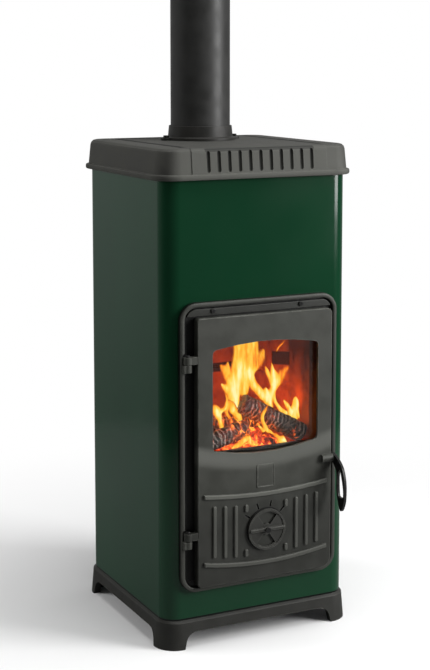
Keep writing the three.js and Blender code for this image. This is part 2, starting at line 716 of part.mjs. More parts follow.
// The collar stands on the hob at its own origin and holds the pipe on an inner ledge.
function flueCollar() {
  const bore = FLUE_RADIUS + FIT;
  const rim = bore + COLLAR_WALL;
  const ringBody = turned(
    [
      [FLUE_HOLE, 0],
      [rim + COLLAR_TAPER + COLLAR_FLANGE, 0],
      [rim + COLLAR_TAPER + COLLAR_FLANGE, COLLAR_FOOT],
      [rim + COLLAR_TAPER, COLLAR_FOOT + COLLAR_BLEND],
      [rim, COLLAR_HEIGHT],
      [bore, COLLAR_HEIGHT],
      [bore, COLLAR_FOOT],
      [FLUE_HOLE, COLLAR_FOOT],
    ],
    FLUE_SIDES,
  );
  const end = EAR_REACH + EAR_WIDTH / 2;
  const strap = rect(-end, end, -EAR_WIDTH / 2, EAR_WIDTH / 2, EAR_WIDTH / 2);
  const ears = cut(slab(outline(strap), 0, COLLAR_FOOT), rod("z", bore, COLLAR_FOOT + PASS, FLUE_SIDES));
  const holes = [-EAR_REACH, EAR_REACH].map((x) =>
    rod("z", BOLT_RADIUS + RUN, COLLAR_FOOT + 2 * PASS).translate([x, 0, -PASS]),
  );
  const under = rod("z", FLUE_HOLE, 2 * PASS, FLUE_SIDES).translate([0, 0, -2 * PASS]);
  return cut(join(ringBody, ears), under, ...holes);
}

function collarBolt() {
  const shank = rod("z", BOLT_RADIUS, BOLT_TAIL + FIT, 12).translate([0, 0, -BOLT_TAIL]);
  return join(rod("z", BOLT_HEAD, BOLT_HEAD_HEIGHT, 6), shank);
}

function fluePipe() {
  const inner = FLUE_RADIUS - FLUE_WALL;
  return turned(
    [
      [inner, 0],
      [FLUE_RADIUS, 0],
      [FLUE_RADIUS, FLUE_LENGTH],
      [inner, FLUE_LENGTH],
    ],
    FLUE_SIDES,
  );
}

// ================================================================ firebox
// The welded steel box that holds the fire, open above to the hob and in front to the door.
function fireboxShell() {
  const outer = block(shell.left, shell.right, shell.front, shell.back, shell.low, shell.high);
  const room = block(inside.left, inside.right, inside.front, inside.back, shell.floor, shell.high + PASS);
  const under = block(
    inside.left,
    inside.right,
    inside.front,
    inside.back,
    shell.low - PASS,
    shell.floor - SHELL_WALL,
  );
  const opening = relief(outline(doorway), -shell.front - 2 * PASS, -shell.front + PASS);
  const screwHoles = frameScrewPlaces().map(([x, z]) =>
    rod("y", SCREW_RADIUS + RUN, 3 * PASS).translate([x, shell.front - PASS, z]),
  );
  const high = hearthTop - HEARTH - FIT;
  const ledges = [
    block(inside.left - ROOT, inside.left + LEDGE, inside.front, inside.back, high - LEDGE_HEIGHT, high),
    block(inside.right - LEDGE, inside.right + ROOT, inside.front, inside.back, high - LEDGE_HEIGHT, high),
  ];
  return join(cut(outer, room, under, opening, ...screwHoles), ...ledges);
}

const grateY = (inside.front + inside.back - BRICK) / 2;

function hearthPlate() {
  const plate = block(
    inside.left + FIT,
    inside.right - FIT,
    inside.front + FIT,
    inside.back - FIT,
    hearthTop - HEARTH,
    hearthTop,
  );
  const half = GRATE_SIZE / 2 + FIT;
  const small = GRATE_SIZE / 2 - GRATE_LAP;
  const bed = block(-half, half, grateY - half, grateY + half, hearthTop - HEARTH_BED, hearthTop + PASS);
  const fall = block(-small, small, grateY - small, grateY + small, hearthTop - HEARTH - PASS, hearthTop);
  return cut(plate, bed, fall);
}

function grate() {
  const half = GRATE_SIZE / 2;
  const low = hearthTop - HEARTH_BED + FIT;
  const plate = block(-half, half, grateY - half, grateY + half, low, hearthTop);
  const free = GRATE_SIZE - 2 * GRATE_BORDER - GRATE_SLOT;
  const long = half - GRATE_BORDER;
  const slots = [];
  for (let i = 0; i < GRATE_SLOTS; i++) {
    const x = -free / 2 + (i * free) / (GRATE_SLOTS - 1);
    const slot = rect(x - GRATE_SLOT / 2, x + GRATE_SLOT / 2, grateY - long, grateY + long, GRATE_SLOT * ROUND_END);
    slots.push(slab(outline(slot), low - PASS, hearthTop + PASS, 0, 1, SMALL_STEPS));
  }
  return cut(plate, ...slots);
}

// The lining stands between the hearth and the baffle: a tall brick at the front of each side,
// and two courses behind it and across the back.
const liningLow = hearthTop + FIT;
const liningSplit = (liningLow + baffleLow) / 2;

function brick(name, [x0, x1], [y0, y1], [z0, z1]) {
  return piece(`brick_${name}`, block(x0, x1, y0, y1, z0, z1 - BRICK_JOINT), fireBrick());
}

function bricks() {
  const back = inside.back - FIT;
  const front = inside.front + BRICK_FRONT;
  const turn = front + BRICK_COLUMN;
  const courses = { lower: [liningLow, liningSplit], upper: [liningSplit, baffleLow] };
  const sides = {
    left: [inside.left + FIT, inside.left + FIT + BRICK],
    right: [inside.right - FIT - BRICK, inside.right - FIT],
  };
  const across = [sides.left[1] + FIT, sides.right[0] - FIT];
  const made = [];
  for (const [side, x] of Object.entries(sides)) {
    made.push(brick(`${side}_front`, x, [front, turn - BRICK_JOINT], [liningLow, baffleLow]));
  }
  for (const [course, z] of Object.entries(courses)) {
    for (const [side, x] of Object.entries(sides)) {
      made.push(brick(`${side}_${course}`, x, [turn, back], z));
    }
    made.push(brick(`back_${course}`, across, [back - BRICK, back], z));
  }
  return made;
}

function bafflePlate() {
  return block(
    inside.left + FIT,
    inside.right - FIT,
    inside.front + SMOKE_GAP,
    inside.back - FIT,
    baffleLow,
    baffleLow + BAFFLE,
  );
}

// The low fence that keeps the logs off the glass.
function logGuard() {
  const y = inside.front + GUARD_INSET;
  const side = FIT + BRICK + GUARD_SIDE;
  const low = hearthTop + FIT;
  return block(inside.left + side, inside.right - side, y, y + GUARD_THICK, low, low + GUARD_HEIGHT);
}

// ================================================================ fire
// Half the width between the side bricks.
const fireHalf = inside.right - FIT - BRICK;

// One log, thinner towards its second end, fattened by the amount.
function log({ from, to, radius }, by = 0) {
  const place = ([x, y, z]) => new THREE.Vector3(x * fireHalf, inside.front + y, hearthTop + z);
  const start = place(from);
  const run = place(to).sub(start);
  const stick = new THREE.CylinderGeometry(radius * LOG_TAPER + by, radius + by, run.length() + 2 * by, LOG_SIDES);
  const turn = new THREE.Quaternion().setFromUnitVectors(new THREE.Vector3(0, 1, 0), run.clone().normalize());
  stick.applyQuaternion(turn);
  const middle = start.addScaledVector(run, 1 / 2);
  return solid(stick.translate(middle.x, middle.y, middle.z));
}

// The heap of embers on the grate, hollowed where the logs lie in it.
function emberBed() {
  const profile = EMBER_PROFILE.map(([r, z]) => new THREE.Vector2(r, z * EMBER_HEIGHT));
  const heap = new THREE.LatheGeometry(profile, ROUND_SIDES).rotateX(Math.PI / 2);
  heap.scale(fireHalf - EMBER_SIDE, EMBER_DEPTH / 2, 1);
  heap.translate(0, inside.front + EMBER_FRONT + EMBER_DEPTH / 2, hearthTop + FIT);
  return cut(solid(heap), ...Object.values(LOGS).map((each) => log(each, FIT)));
}

function ashPan() {
  const low = shell.floor + FIT;
  const high = low + PAN_HEIGHT;
  const x0 = doorway.left + PAN_SIDE;
  const x1 = doorway.right - PAN_SIDE;
  const y0 = inside.front + PAN_FRONT;
  const y1 = inside.back - PAN_BACK;
  const tray = block(x0, x1, y0, y1, low, high);
  const room = block(x0 + PAN_WALL, x1 - PAN_WALL, y0 + PAN_WALL, y1 - PAN_WALL, low + PAN_WALL, high + PASS);
  const half = PAN_LIP_WIDTH / 2;
  const lip = block(leafX - half, leafX + half, y0 - PAN_LIP, y0 + PAN_WALL, high - 2 * PAN_WALL, high);
  return join(cut(tray, room), lip);
}

// ================================================================ door frame
function frameScrewPlaces() {
  const z = frame.high - FRAME_SCREW_DROP;
  return [
    [frame.left + FRAME_SCREW_LEFT, z],
    [frame.right - FRAME_SCREW_RIGHT, z],
  ];
}

// One hinge knuckle round the hinge axis, with the arm that carries it between two places along X.
function knuckle(low, x0, x1, y0, y1) {
  const barrel = rod("z", KNUCKLE_RADIUS, KNUCKLE_HEIGHT).translate([hingeX, -HINGE_OUT, low]);
  return join(barrel, block(x0, x1, y0, y1, low, low + KNUCKLE_HEIGHT));
}

const pinHole = (low, length) =>
  rod("z", PIN_RADIUS + RUN, length).translate([hingeX, -HINGE_OUT, low]);

function doorFrame() {
  const foot = FIT;
  const face = foot + FRAME_PLATE;
  const beadInner = grown(frame, -BEAD_WIDTH);
  const plate = relief(ring(frame, doorway), foot, face);
  const bead = relief(ring(frame, beadInner), foot, BEAD_HEIGHT, BEAD_ROUND, 2);
  const neck = relief(ring(grown(doorway, SPIGOT_WALL), doorway), -(JACKET_WALL + FRONT_AIR - FIT), face);
  const bandLow = leaf.high + BAND_GAP;
  const bandEdge = grown(beadInner, -BAND_GAP);
  const above = block(frame.left, frame.right, -BEAD_HEIGHT, 0, bandLow, frame.high);
  const band = relief(outline(bandEdge), foot, BAND_HEIGHT, 1).intersect(above);
  const holes = frameScrewPlaces().map(([x, z]) =>
    rod("y", SCREW_RADIUS + RUN, 4 * PASS).translate([x, -3 * PASS, z]),
  );
  const lugs = [];
  const notches = [];
  for (const z of hingeZs) {
    const low = z - KNUCKLE_GAP / 2 - KNUCKLE_HEIGHT;
    const arm = frame.left + BEAD_WIDTH / 3;
    lugs.push(knuckle(low, arm, hingeX, -HINGE_OUT - ARM_THICK / 2, -face + ROOT));
    notches.push(
      rod("z", KNUCKLE_RADIUS + NOTCH_GAP, KNUCKLE_HEIGHT + KNUCKLE_GAP + PIN_HEAD + NOTCH_GAP).translate([
        hingeX,
        -HINGE_OUT,
        z - KNUCKLE_GAP / 2,
      ]),
    );
  }
  const sockets = hingeZs.map((z) => pinHole(z - KNUCKLE_HEIGHT + KNUCKLE_GAP, KNUCKLE_HEIGHT + PASS));
  return cut(join(cut(join(plate, bead, neck, band), ...notches), ...lugs), ...sockets, ...holes);
}

function hingePin() {
  const low = KNUCKLE_GAP + FIT - KNUCKLE_HEIGHT;
  const high = KNUCKLE_GAP / 2 + KNUCKLE_HEIGHT + PIN_HEAD;
  return rod("z", PIN_RADIUS, high - low, 16).translate([0, 0, low]);
}

// The stop on the frame that the lever's nose turns up under.
function latchKeeper() {
  const face = FIT + FRAME_PLATE + FIT;
  const low = pivotZ + NOSE_TOP + KEEPER_GAP;
  const right = frame.right - BEAD_WIDTH - FIT;
  return block(leverX - FIT, right, -face - KEEPER_OUT, -face, low, low + KEEPER_HEIGHT);
}

// ================================================================ door
function uprightBars() {
  const made = [];
  for (let i = 0; i < BAR_COUNT; i++) {
    for (const side of [-1, 1]) {
      const offset = side * (BAR_FIRST + i * BAR_PITCH);
      const low = lowerRibAt(offset) + BAR_FOOT_GAP;
      const high = upperRibAt(offset) - BAR_TOP_GAP;
      const spans = i
        ? [[low, high]]
        : [
            [low, low + STUB_LENGTH],
            [high - STUB_LENGTH, high],
          ];
      for (const [from, to] of spans) {
        const x = leafX + offset;
        const half = BAR_WIDTH / 2;
        const bar = rect(x - half, x + half, from, to, BAR_WIDTH * ROUND_END);
        made.push(raised(outline(bar), LEAF_FACE, BAR_PROUD, SMALL_STEPS));
      }
    }
  }
  return made;
}

function tickMarks() {
  const made = [];
  for (let i = 0; i < TICK_COUNT; i++) {
    const inner = AIR_RADIUS + TICK_IN;
    const mark = rect(inner, inner + TICK_LENGTH, -TICK_WIDTH / 2, TICK_WIDTH / 2, TICK_WIDTH * ROUND_END);
    const cutter = relief(outline(mark), LEAF_FACE - TICK_DEPTH, LEAF_FACE + PASS, 0, 1, SMALL_STEPS);
    made.push(cutter.rotate([0, -TICK_FIRST - i * TICK_STEP, 0]).translate([leafX, 0, airZ]));
  }
  return made;
}

const portShape = (angle) => sector(leafX, airZ, PORT_IN, PORT_OUT, angle, PORT_SWEEP);

function clipScrewPlaces() {
  const xs = [windowPane.left - GLASS_LAP, windowPane.right + GLASS_LAP];
  const [left, right] = [xs[0] + CLIP_END + CLIP_SCREW_INSET, xs[1] - CLIP_END - CLIP_SCREW_INSET];
  const away = CLIP_BOSS + ROOT;
  const low = windowPane.low - WINDOW_SAG - GLASS_LAP - away;
  const high = windowPane.high + WINDOW_CROWN + GLASS_LAP + away;
  return { left, right, low, high };
}

function doorLeaf() {
  const slabBody = relief(outline(leaf), LEAF_BACK, LEAF_FACE, LEAF_BEVEL);
  const pocket = relief(outline(grown(leaf, -RIM_WIDTH)), 0, plateBack, 0, 1, SMALL_STEPS);
  const half = (SEAL_WIDTH + 2 * FIT) / 2;
  const loop = ring(grown(leaf, half - SEAL_INSET), grown(leaf, -half - SEAL_INSET));
  const groove = relief(loop, 0, LEAF_BACK + SEAL_GROOVE, 0, 1, SMALL_STEPS);
  const pane = relief(paneShape(), 0, LEAF_FACE + PASS);
  const ports = [0, 180].map((turn) =>
    relief(portShape(PORT_ANGLE - AIR_TRAVEL + turn), 0, LEAF_FACE + PASS),
  );
  const longRibs = [
    raised(sagShape(leaf.low + UPPER_RIB, UPPER_RIB_SAG), LEAF_FACE, RIB_PROUD, 2 * CORNER_STEPS),
    raised(sagShape(leaf.low + LOWER_RIB, LOWER_RIB_SAG), LEAF_FACE, RIB_PROUD, 2 * CORNER_STEPS),
  ];
  const boss = rod("x", BOSS_RADIUS, BOSS_LENGTH).translate([leaf.right - BOSS_LENGTH, -PIVOT_OUT, pivotZ]);
  const bossHole = rod("x", LEVER_PIN + FIT, BOSS_LENGTH).translate([
    leaf.right - LEVER_PIN_DEPTH - FIT,
    -PIVOT_OUT,
    pivotZ,
  ]);
  const arms = hingeZs.map((z) =>
    knuckle(
      z + KNUCKLE_GAP / 2,
      hingeX,
      leaf.left + ARM_LAP,
      -HINGE_OUT - ARM_THICK / 2,
      -HINGE_OUT + ARM_THICK / 2,
    ),
  );
  const pinHoles = hingeZs.map((z) => pinHole(z - PASS, KNUCKLE_HEIGHT + 3 * PASS));
  const { left, right, low, high } = clipScrewPlaces();
  const clipFace = plateBack - GASKET - GLASS - 2 * FIT;
  const posts = [left, right].flatMap((x) =>
    [low, high].map((z) => rod("y", CLIP_BOSS, plateBack + ROOT - clipFace, 12).translate([x, -plateBack - ROOT, z])),
  );
  const threads = [left, right].flatMap((x) =>
    [low, high].map((z) => rod("y", SCREW_RADIUS + RUN, 3 * PASS, 12).translate([x, -LEAF_FACE + CLIP_HOLE_COVER, z])),
  );
  const airHole = rod("y", AIR_SCREW + RUN, LEAF_FACE + PASS).translate([leafX, -LEAF_FACE - PASS, airZ]);
  const cast = join(cut(slabBody, pocket, groove), ...longRibs, ...uprightBars(), boss, ...arms, ...posts);
  return cut(cast, pane, ...ports, ...tickMarks(), bossHole, ...pinHoles, ...threads, airHole);
}

function doorSeal() {
  const half = SEAL_WIDTH / 2;
  const from = FIT + FRAME_PLATE + FIT;
  const to = LEAF_BACK + SEAL_GROOVE - FIT;
  const loop = ring(grown(leaf, half - SEAL_INSET), grown(leaf, -half - SEAL_INSET));
  return relief(loop, from, to, SEAL_BEVEL, 1, SMALL_STEPS);
}

const glassRect = rect(
  windowPane.left - GLASS_LAP,
  windowPane.right + GLASS_LAP,
  windowPane.low - WINDOW_SAG - GLASS_LAP,
  windowPane.high + WINDOW_CROWN + GLASS_LAP,
  3,
);

function glassGasket() {
  const shape = outline(glassRect);
  shape.holes.push(corners(new THREE.Path(), grown(glassRect, -GASKET_WIDTH)));
  return relief(shape, plateBack - FIT - GASKET, plateBack - FIT, 0, 1, SMALL_STEPS);
}

function doorGlass() {
  const back = plateBack - FIT - GASKET - FIT - GLASS;
  return relief(outline(glassRect), back, back + GLASS, 0, 1, SMALL_STEPS);
}

// A flat bar that holds one edge of the glass: at its foot for -1, at its head for 1.
function glassClip(side) {
  const { left, right, low, high } = clipScrewPlaces();
  const face = plateBack - GASKET - GLASS - 3 * FIT;
  const edge = side > 0 ? glassRect.high : glassRect.low;
  const z0 = side > 0 ? edge - CLIP_LAP : edge + CLIP_LAP - CLIP_HEIGHT;
  const x0 = glassRect.left + CLIP_END;
  const x1 = glassRect.right - CLIP_END;
  const bar = block(x0, x1, -face, -face + CLIP, z0, z0 + CLIP_HEIGHT);
  const z = side > 0 ? high : low;
  const holes = [left, right].map((x) => rod("y", SCREW_RADIUS + RUN, 2 * PASS, 12).translate([x, -face - PASS, z]));
  return cut(bar, ...holes);
}

function leverPin() {
  const from = leaf.right - LEVER_PIN_DEPTH;
  const to = leverX + LEVER_PLATE + FIT;
  const shank = rod("x", LEVER_PIN, to - from + FIT, 16).translate([from, 0, 0]);
  return join(shank, rod("x", LEVER_PIN_HEAD, LEVER_PIN_CAP, 16).translate([to, 0, 0]));
}

function handleLever() {
  const grip = sidePlate(leverShape(), leverX, leverX + LEVER_PLATE, 0, 1, SMALL_STEPS);
  const head = rod("x", LEVER_HEAD, LEVER_PLATE).translate([leverX, -PIVOT_OUT, pivotZ]);
  const top = pivotZ + NOSE_TOP;
  const nose = block(leverX, leverX + LEVER_PLATE, -PIVOT_OUT, NOSE_REACH - PIVOT_OUT, top - NOSE_HEIGHT, top);
  const hole = rod("x", LEVER_PIN + RUN, LEVER_PLATE + 2 * PASS).translate([leverX - PASS, -PIVOT_OUT, pivotZ]);
  return cut(join(grip, head, nose), hole);
}

function airDisc() {
  const back = LEAF_FACE + FIT;
  const face = back + AIR_PLATE;
  const shape = new THREE.Shape();
  shape.absarc(leafX, airZ, AIR_RADIUS, 0, 2 * Math.PI);
  const disc = relief(shape, back, face, 0, 1, AIR_SIDES);
  const rimShape = shape.clone();
  const rimHole = new THREE.Path();
  rimHole.absarc(leafX, airZ, AIR_RADIUS - AIR_RIM, 0, 2 * Math.PI);
  rimShape.holes.push(rimHole);
  const rim = relief(rimShape, back, face + AIR_RIM_PROUD, 0, 1, AIR_SIDES);
  const windows = [0, 180].map((turn) => relief(portShape(PORT_ANGLE + turn), 0, face + PASS));
  const half = AIR_RADIUS - AIR_RIM / 2;
  const grip = rect(leafX - half, leafX + half, airZ - GRIP_HEIGHT / 2, airZ + GRIP_HEIGHT / 2, GRIP_HEIGHT * ROUND_END);
  const bar = raised(outline(grip), face, GRIP_PROUD, SMALL_STEPS);
  const hole = rod("y", AIR_SCREW + RUN, LEAF_FACE).translate([leafX, -back - LEAF_FACE + ROOT, airZ]);
  return cut(join(cut(disc, ...windows), rim, bar), hole);
}

function airScrew() {
  const seat = LEAF_FACE + FIT + AIR_PLATE + GRIP_PROUD + FIT;
  const tail = plateBack - FIT - AIR_NUT_HEIGHT - AIR_SCREW_TAIL;
  const shank = rod("y", AIR_SCREW, seat - tail + FIT, 12).translate([0, -seat - FIT, 0]);
  return join(shank, rod("y", AIR_SCREW_HEAD, AIR_SCREW_HEAD_HEIGHT, 18).translate([0, -seat - AIR_SCREW_HEAD_HEIGHT, 0]));
}

function airNut() {
  const face = plateBack - FIT;
  const nut = rod("y", AIR_NUT, AIR_NUT_HEIGHT, 6).translate([0, -face, 0]);
  return cut(nut, rod("y", AIR_SCREW + RUN, AIR_NUT_HEIGHT + 2 * PASS, 12).translate([0, -face - PASS, 0]));
}

// ================================================================ assembly
function buildBody() {
  const group = new THREE.Group();
  group.add(
    piece("base_frame", baseFrame(), castIron()),
    piece("floor_panel", floorPanel(), galvanised()),
    piece("jacket", jacket(), greenEnamel()),
    piece("rear_panel", rearPanel(), darkSteel()),
    piece("hob_top", hobTop(), castIron()),
    piece("flue_collar", flueCollar(), castIron(), 0, FLUE_Y, HOB_TOP + FIT),
    piece("flue_pipe", fluePipe(), darkSteel(), 0, FLUE_Y, HOB_TOP + FIT + COLLAR_FOOT + FIT),
    piece("firebox_shell", fireboxShell(), darkSteel()),
    piece("hearth_plate", hearthPlate(), castIron()),
    piece("grate", grate(), castIron()),
    piece("baffle_plate", bafflePlate(), fireBrick()),
    piece("log_guard", logGuard(), castIron()),
    piece("ash_pan", ashPan(), galvanised()),
    piece("ember_bed", emberBed(), embers()),
    ...bricks(),
    ...Object.entries(LOGS).map(([place, each]) => piece(`log_${place}`, log(each), charredWood())),
  );
  rearScrewPlaces().forEach(([x, z], i) => {
    const y = BACK + FIT + REAR_SHEET + FIT;
    group.add(piece(`rear_screw_${i + 1}`, screw(SCREW_REACH, false), galvanised(), x, y, z));
  });
  ["left", "right"].forEach((side, i) => {
    const z = HOB_TOP + FIT + COLLAR_FOOT + FIT;
    const x = (2 * i - 1) * EAR_REACH;
    group.add(piece(`collar_bolt_${side}`, collarBolt(), darkSteel(), x, FLUE_Y, z));
  });
  return group;
}

// Pieces on the front, in a group whose face is the jacket's.
function buildFront() {
  const group = new THREE.Group();
  group.position.y = FRONT;
  group.add(
    piece("door_frame", doorFrame(), castIron()),
    piece("latch_keeper", latchKeeper(), darkSteel()),
  );
  ["left", "right"].forEach((side, i) => {
    const [x, z] = frameScrewPlaces()[i];
    const reach = BAND_HEIGHT + FIT + JACKET_WALL + FRONT_AIR + SHELL_WALL + FRAME_SCREW_TAIL;
    group.add(piece(`frame_screw_${side}`, screw(reach, true), blackCast(), x, -BAND_HEIGHT - FIT, z));
  });
  ["lower", "upper"].forEach((place, i) => {
    group.add(piece(`hinge_pin_${place}`, hingePin(), darkSteel(), hingeX, -HINGE_OUT, hingeZs[i]));
  });
  group.add(buildDoor());
  return group;
}

function buildDoor() {
  const group = new THREE.Group();
  group.add(
    piece("door_leaf", doorLeaf(), castIron()),
    piece("door_seal", doorSeal(), rope()),
    piece("door_glass", doorGlass(), ceramicGlass()),
    piece("glass_gasket", glassGasket(), rope()),
    piece("glass_clip_lower", glassClip(-1), galvanised()),
    piece("glass_clip_upper", glassClip(1), galvanised()),
    piece("lever_pin", leverPin(), blackCast(), 0, -PIVOT_OUT, pivotZ),
    piece("handle_lever", handleLever(), blackCast()),
    piece("air_disc", airDisc(), castIron()),
    piece("air_screw", airScrew(), blackCast(), leafX, 0, airZ),
    piece("air_nut", airNut(), galvanised(), leafX, 0, airZ),
  );
  const { left, right, low, high } = clipScrewPlaces();
  const seat = plateBack - GASKET - GLASS - 3 * FIT - CLIP - FIT;
  for (const [side, x] of [["left", left], ["right", right]]) {
    for (const [place, z] of [["lower", low], ["upper", high]]) {
      const name = `clip_screw_${place}_${side}`;
      group.add(piece(name, screw(CLIP_SCREW_REACH, false), galvanised(), x, -seat, z));
    }
  }
  return group;
}

// The lever reaches furthest forwards and the hob's lip furthest back, and the origin is midway.
const leverReach = PIVOT_OUT + Math.max(...LEVER_FRONT.map(([out]) => out));
const stove = new THREE.Group();
stove.add(buildBody(), buildFront());
stove.position.y = (leverReach - LIP_OVERHANG) / 2;

export default stove;
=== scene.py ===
"""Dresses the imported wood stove: enamelled jacket, cast parts, lining, fuel and flames.

Lengths are in metres, with X to the right, Y to the back and Z up from the floor. Pieces are drawn
about the middle of the stove's body, and set back into the row frame when they are finished.
Finishes read places in the row frame, and a pair of numbers in them is a range along an axis.
"""

import logging
import math
import random
from collections.abc import Callable, Sequence
from dataclasses import dataclass, field
from enum import Enum

import bmesh
import bpy
import numpy
from mathutils import Matrix, Vector, noise

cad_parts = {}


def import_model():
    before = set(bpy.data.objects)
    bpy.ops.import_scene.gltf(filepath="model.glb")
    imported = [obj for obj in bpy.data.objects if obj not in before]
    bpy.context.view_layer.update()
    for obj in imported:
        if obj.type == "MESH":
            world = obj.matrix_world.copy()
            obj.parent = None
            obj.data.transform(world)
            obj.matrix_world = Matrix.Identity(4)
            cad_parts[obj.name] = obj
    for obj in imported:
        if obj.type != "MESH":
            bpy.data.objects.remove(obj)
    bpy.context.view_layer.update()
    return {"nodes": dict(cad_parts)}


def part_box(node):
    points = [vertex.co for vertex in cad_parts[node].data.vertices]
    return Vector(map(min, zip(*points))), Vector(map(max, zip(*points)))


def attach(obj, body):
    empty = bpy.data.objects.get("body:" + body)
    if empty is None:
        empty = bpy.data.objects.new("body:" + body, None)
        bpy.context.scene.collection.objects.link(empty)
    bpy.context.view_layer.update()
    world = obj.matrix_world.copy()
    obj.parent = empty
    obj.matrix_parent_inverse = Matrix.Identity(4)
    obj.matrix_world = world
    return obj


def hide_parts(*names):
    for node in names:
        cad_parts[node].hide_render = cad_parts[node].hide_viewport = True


LOG = logging.getLogger("stove")
MM = 0.001
Mesh = bmesh.types.BMesh
Material = bpy.types.Material
Socket = bpy.types.NodeSocket
Pair = tuple[float, float]
Triple = tuple[float, float, float]
Quad = tuple[float, float, float, float]
Tone = tuple[int, int, int]
Point = tuple[int, int, int, int]

# Paints that the castings' marks share: a painted highlight and painted shade.
HIGHLIGHT_PAINT: Tone = (98, 99, 93)
SHADE_PAINT: Tone = (15, 15, 14)


class Body(Enum):
    """The bodies that pieces ride on."""

    STOVE = "stove"
    DOOR = "door"
    LEVER = "lever"
    AIR = "air_control"
    PAN = "pan"


class Slot(Enum):
    """The record's material slots."""

    ENAMEL = "green_enamel"
    IRON = "cast_iron"
    STEEL = "dark_steel"
    BLACK = "black_cast"
    ZINC = "zinc_steel"
    BRICK = "fire_brick"
    ROPE = "rope_seal"
    GLASS = "ceramic_glass"
    WOOD = "charred_wood"
    EMBERS = "embers"


def linear(level: int) -> float:
    """Linear value of one channel of a screen colour, 0 to 255."""
    part = level / 255
    return part / 12.92 if part <= 0.04045 else ((part + 0.055) / 1.055) ** 2.4


def paint(red: int, green: int, blue: int) -> Quad:
    """Turns a screen colour into the linear one, with full alpha, that a shader takes."""
    return linear(red), linear(green), linear(blue), 1.0


# ---- finishes
class Shade:
    """A node tree, with short ways to add what the finishes share.

    It holds the colour that has been laid so far, and the relief.
    """

    def __init__(self, name: str, world: bool = False) -> None:
        """Makes an empty material, or an empty world, with its output node.

        Args:
            name: Its name.
            world: Whether it is a world.
        """
        self.made = (bpy.data.worlds if world else bpy.data.materials).new(name)
        self.made.use_nodes = True
        self.tree = self.made.node_tree
        self.tree.nodes.clear()
        self.output = self.node("ShaderNodeOutputWorld" if world else "ShaderNodeOutputMaterial")
        self.place = self.node("ShaderNodeTexCoord").outputs["Object"]
        self.colour: Socket | None = None
        self.relief: Socket | None = None

    def node(self, kind: str, inputs: dict | None = None, **settings: object) -> bpy.types.Node:
        """Adds a node.

        Args:
            kind: Type of node.
            inputs: Values or sockets for its inputs, by name or number.
            **settings: The node's own settings.

        Returns:
            The node.
        """
        made = self.tree.nodes.new(kind)
        for key, value in settings.items():
            setattr(made, key, value)
        for key, value in (inputs or {}).items():
            if isinstance(value, Socket):
                self.tree.links.new(value, made.inputs[key])
            else:
                made.inputs[key].default_value = value
        return made

    def grain(self, size: float, detail: float = 2.0, stretch: Triple = (1, 1, 1)) -> Socket:
        """Adds a noise pattern.

        Args:
            size: Size of its lumps in metres.
            detail: How many finer octaves it has.
            stretch: How much closer it repeats along each axis.

        Returns:
            The pattern's value, 0 to 1.
        """
        scaled = self.node("ShaderNodeMapping", {"Vector": self.place, "Scale": stretch}).outputs[0]
        inputs = {"Vector": scaled, "Scale": 1 / size, "Detail": detail, "Roughness": 0.55}
        return self.node("ShaderNodeTexNoise", inputs).outputs["Fac"]

    def cells(self, scale: float, spot: Socket | None = None, loose: float = 1.0) -> Socket:
        """Adds a pattern of cells, and gives the distance to the nearest edge between them."""
        inputs = {"Vector": spot or self.place, "Scale": scale, "Randomness": loose}
        return self.node("ShaderNodeTexVoronoi", inputs, feature="DISTANCE_TO_EDGE").outputs[0]

    def span(
        self, value: Socket, low: float, high: float, start: float = 0.0, end: float = 1.0,
        course: str = "SMOOTHSTEP",
    ) -> Socket:
        """Maps the range from low to high smoothly onto the one from start to end, and stops there."""
        inputs = {0: value, 1: low, 2: high, 3: start, 4: end}
        return self.node("ShaderNodeMapRange", inputs, interpolation_type=course).outputs[0]

    def calc(self, kind: str, *values: Socket | float) -> Socket:
        """Works out a formula of one step, such as ADD or MAXIMUM, on one to three values."""
        return self.node("ShaderNodeMath", dict(enumerate(values)), operation=kind).outputs[0]

    def times(self, first: Socket, *others: Socket | float) -> Socket:
        """Multiplies values.

        Args:
            first: One of them.
            *others: The others.

        Returns:
            Their product.
        """
        for other in others:
            first = self.calc("MULTIPLY", first, other)
        return first

    def stirred(self, value: Socket, pattern: Socket, amount: float) -> Socket:
        """Shifts a value up and down by some of a pattern."""
        return self.calc("MULTIPLY_ADD", self.calc("SUBTRACT", pattern, 0.5), amount, value)

    def blend(self, share: Socket, first: Socket | Quad, second: Socket | Quad) -> Socket:
        """Mixes two colours by a share, from 0 for the first to 1 for the second."""
        return self.node("ShaderNodeMix", {0: share, 6: first, 7: second}, data_type="RGBA").outputs[2]

    def ground(self, share: Socket, first: Tone, second: Tone) -> None:
        """Starts the colour with two paints, mixed by a share."""
        self.colour = self.blend(share, paint(*first), paint(*second))

    def coat(self, share: Socket, red: int, green: int, blue: int) -> None:
        """Lays a paint over the colour so far, as thick as a share says."""
        self.colour = self.blend(share, self.colour, paint(red, green, blue))

    def emboss(self, height: Socket, depth: float, strength: float = 1.0) -> None:
        """Raises a pattern on top of the relief so far.

        Args:
            height: The pattern, 0 to 1.
            depth: How deep it is in metres.
            strength: How much of it shows.
        """
        inputs = {"Height": height, "Distance": depth, "Strength": strength}
        if self.relief is not None:
            inputs["Normal"] = self.relief
        self.relief = self.node("ShaderNodeBump", inputs).outputs[0]

    def edges(self, radius: float) -> Socket:
        """Finds the outer and inner edges of a piece.

        Args:
            radius: How far from an edge it still tells.

        Returns:
            0 on flat faces and 1 on an edge.
        """
        rounded = self.node("ShaderNodeBevel", {"Radius": radius}, samples=4).outputs[0]
        plain = self.node("ShaderNodeNewGeometry").outputs["Normal"]
        same = self.node("ShaderNodeVectorMath", {0: rounded, 1: plain}, operation="DOT_PRODUCT")
        return self.span(same.outputs["Value"], 0.999, 0.93)

    def axis(self, name: str, spot: Socket | None = None) -> Socket:
        """One coordinate of a place, X, Y or Z."""
        return self.node("ShaderNodeSeparateXYZ", {0: spot or self.place}).outputs[name]

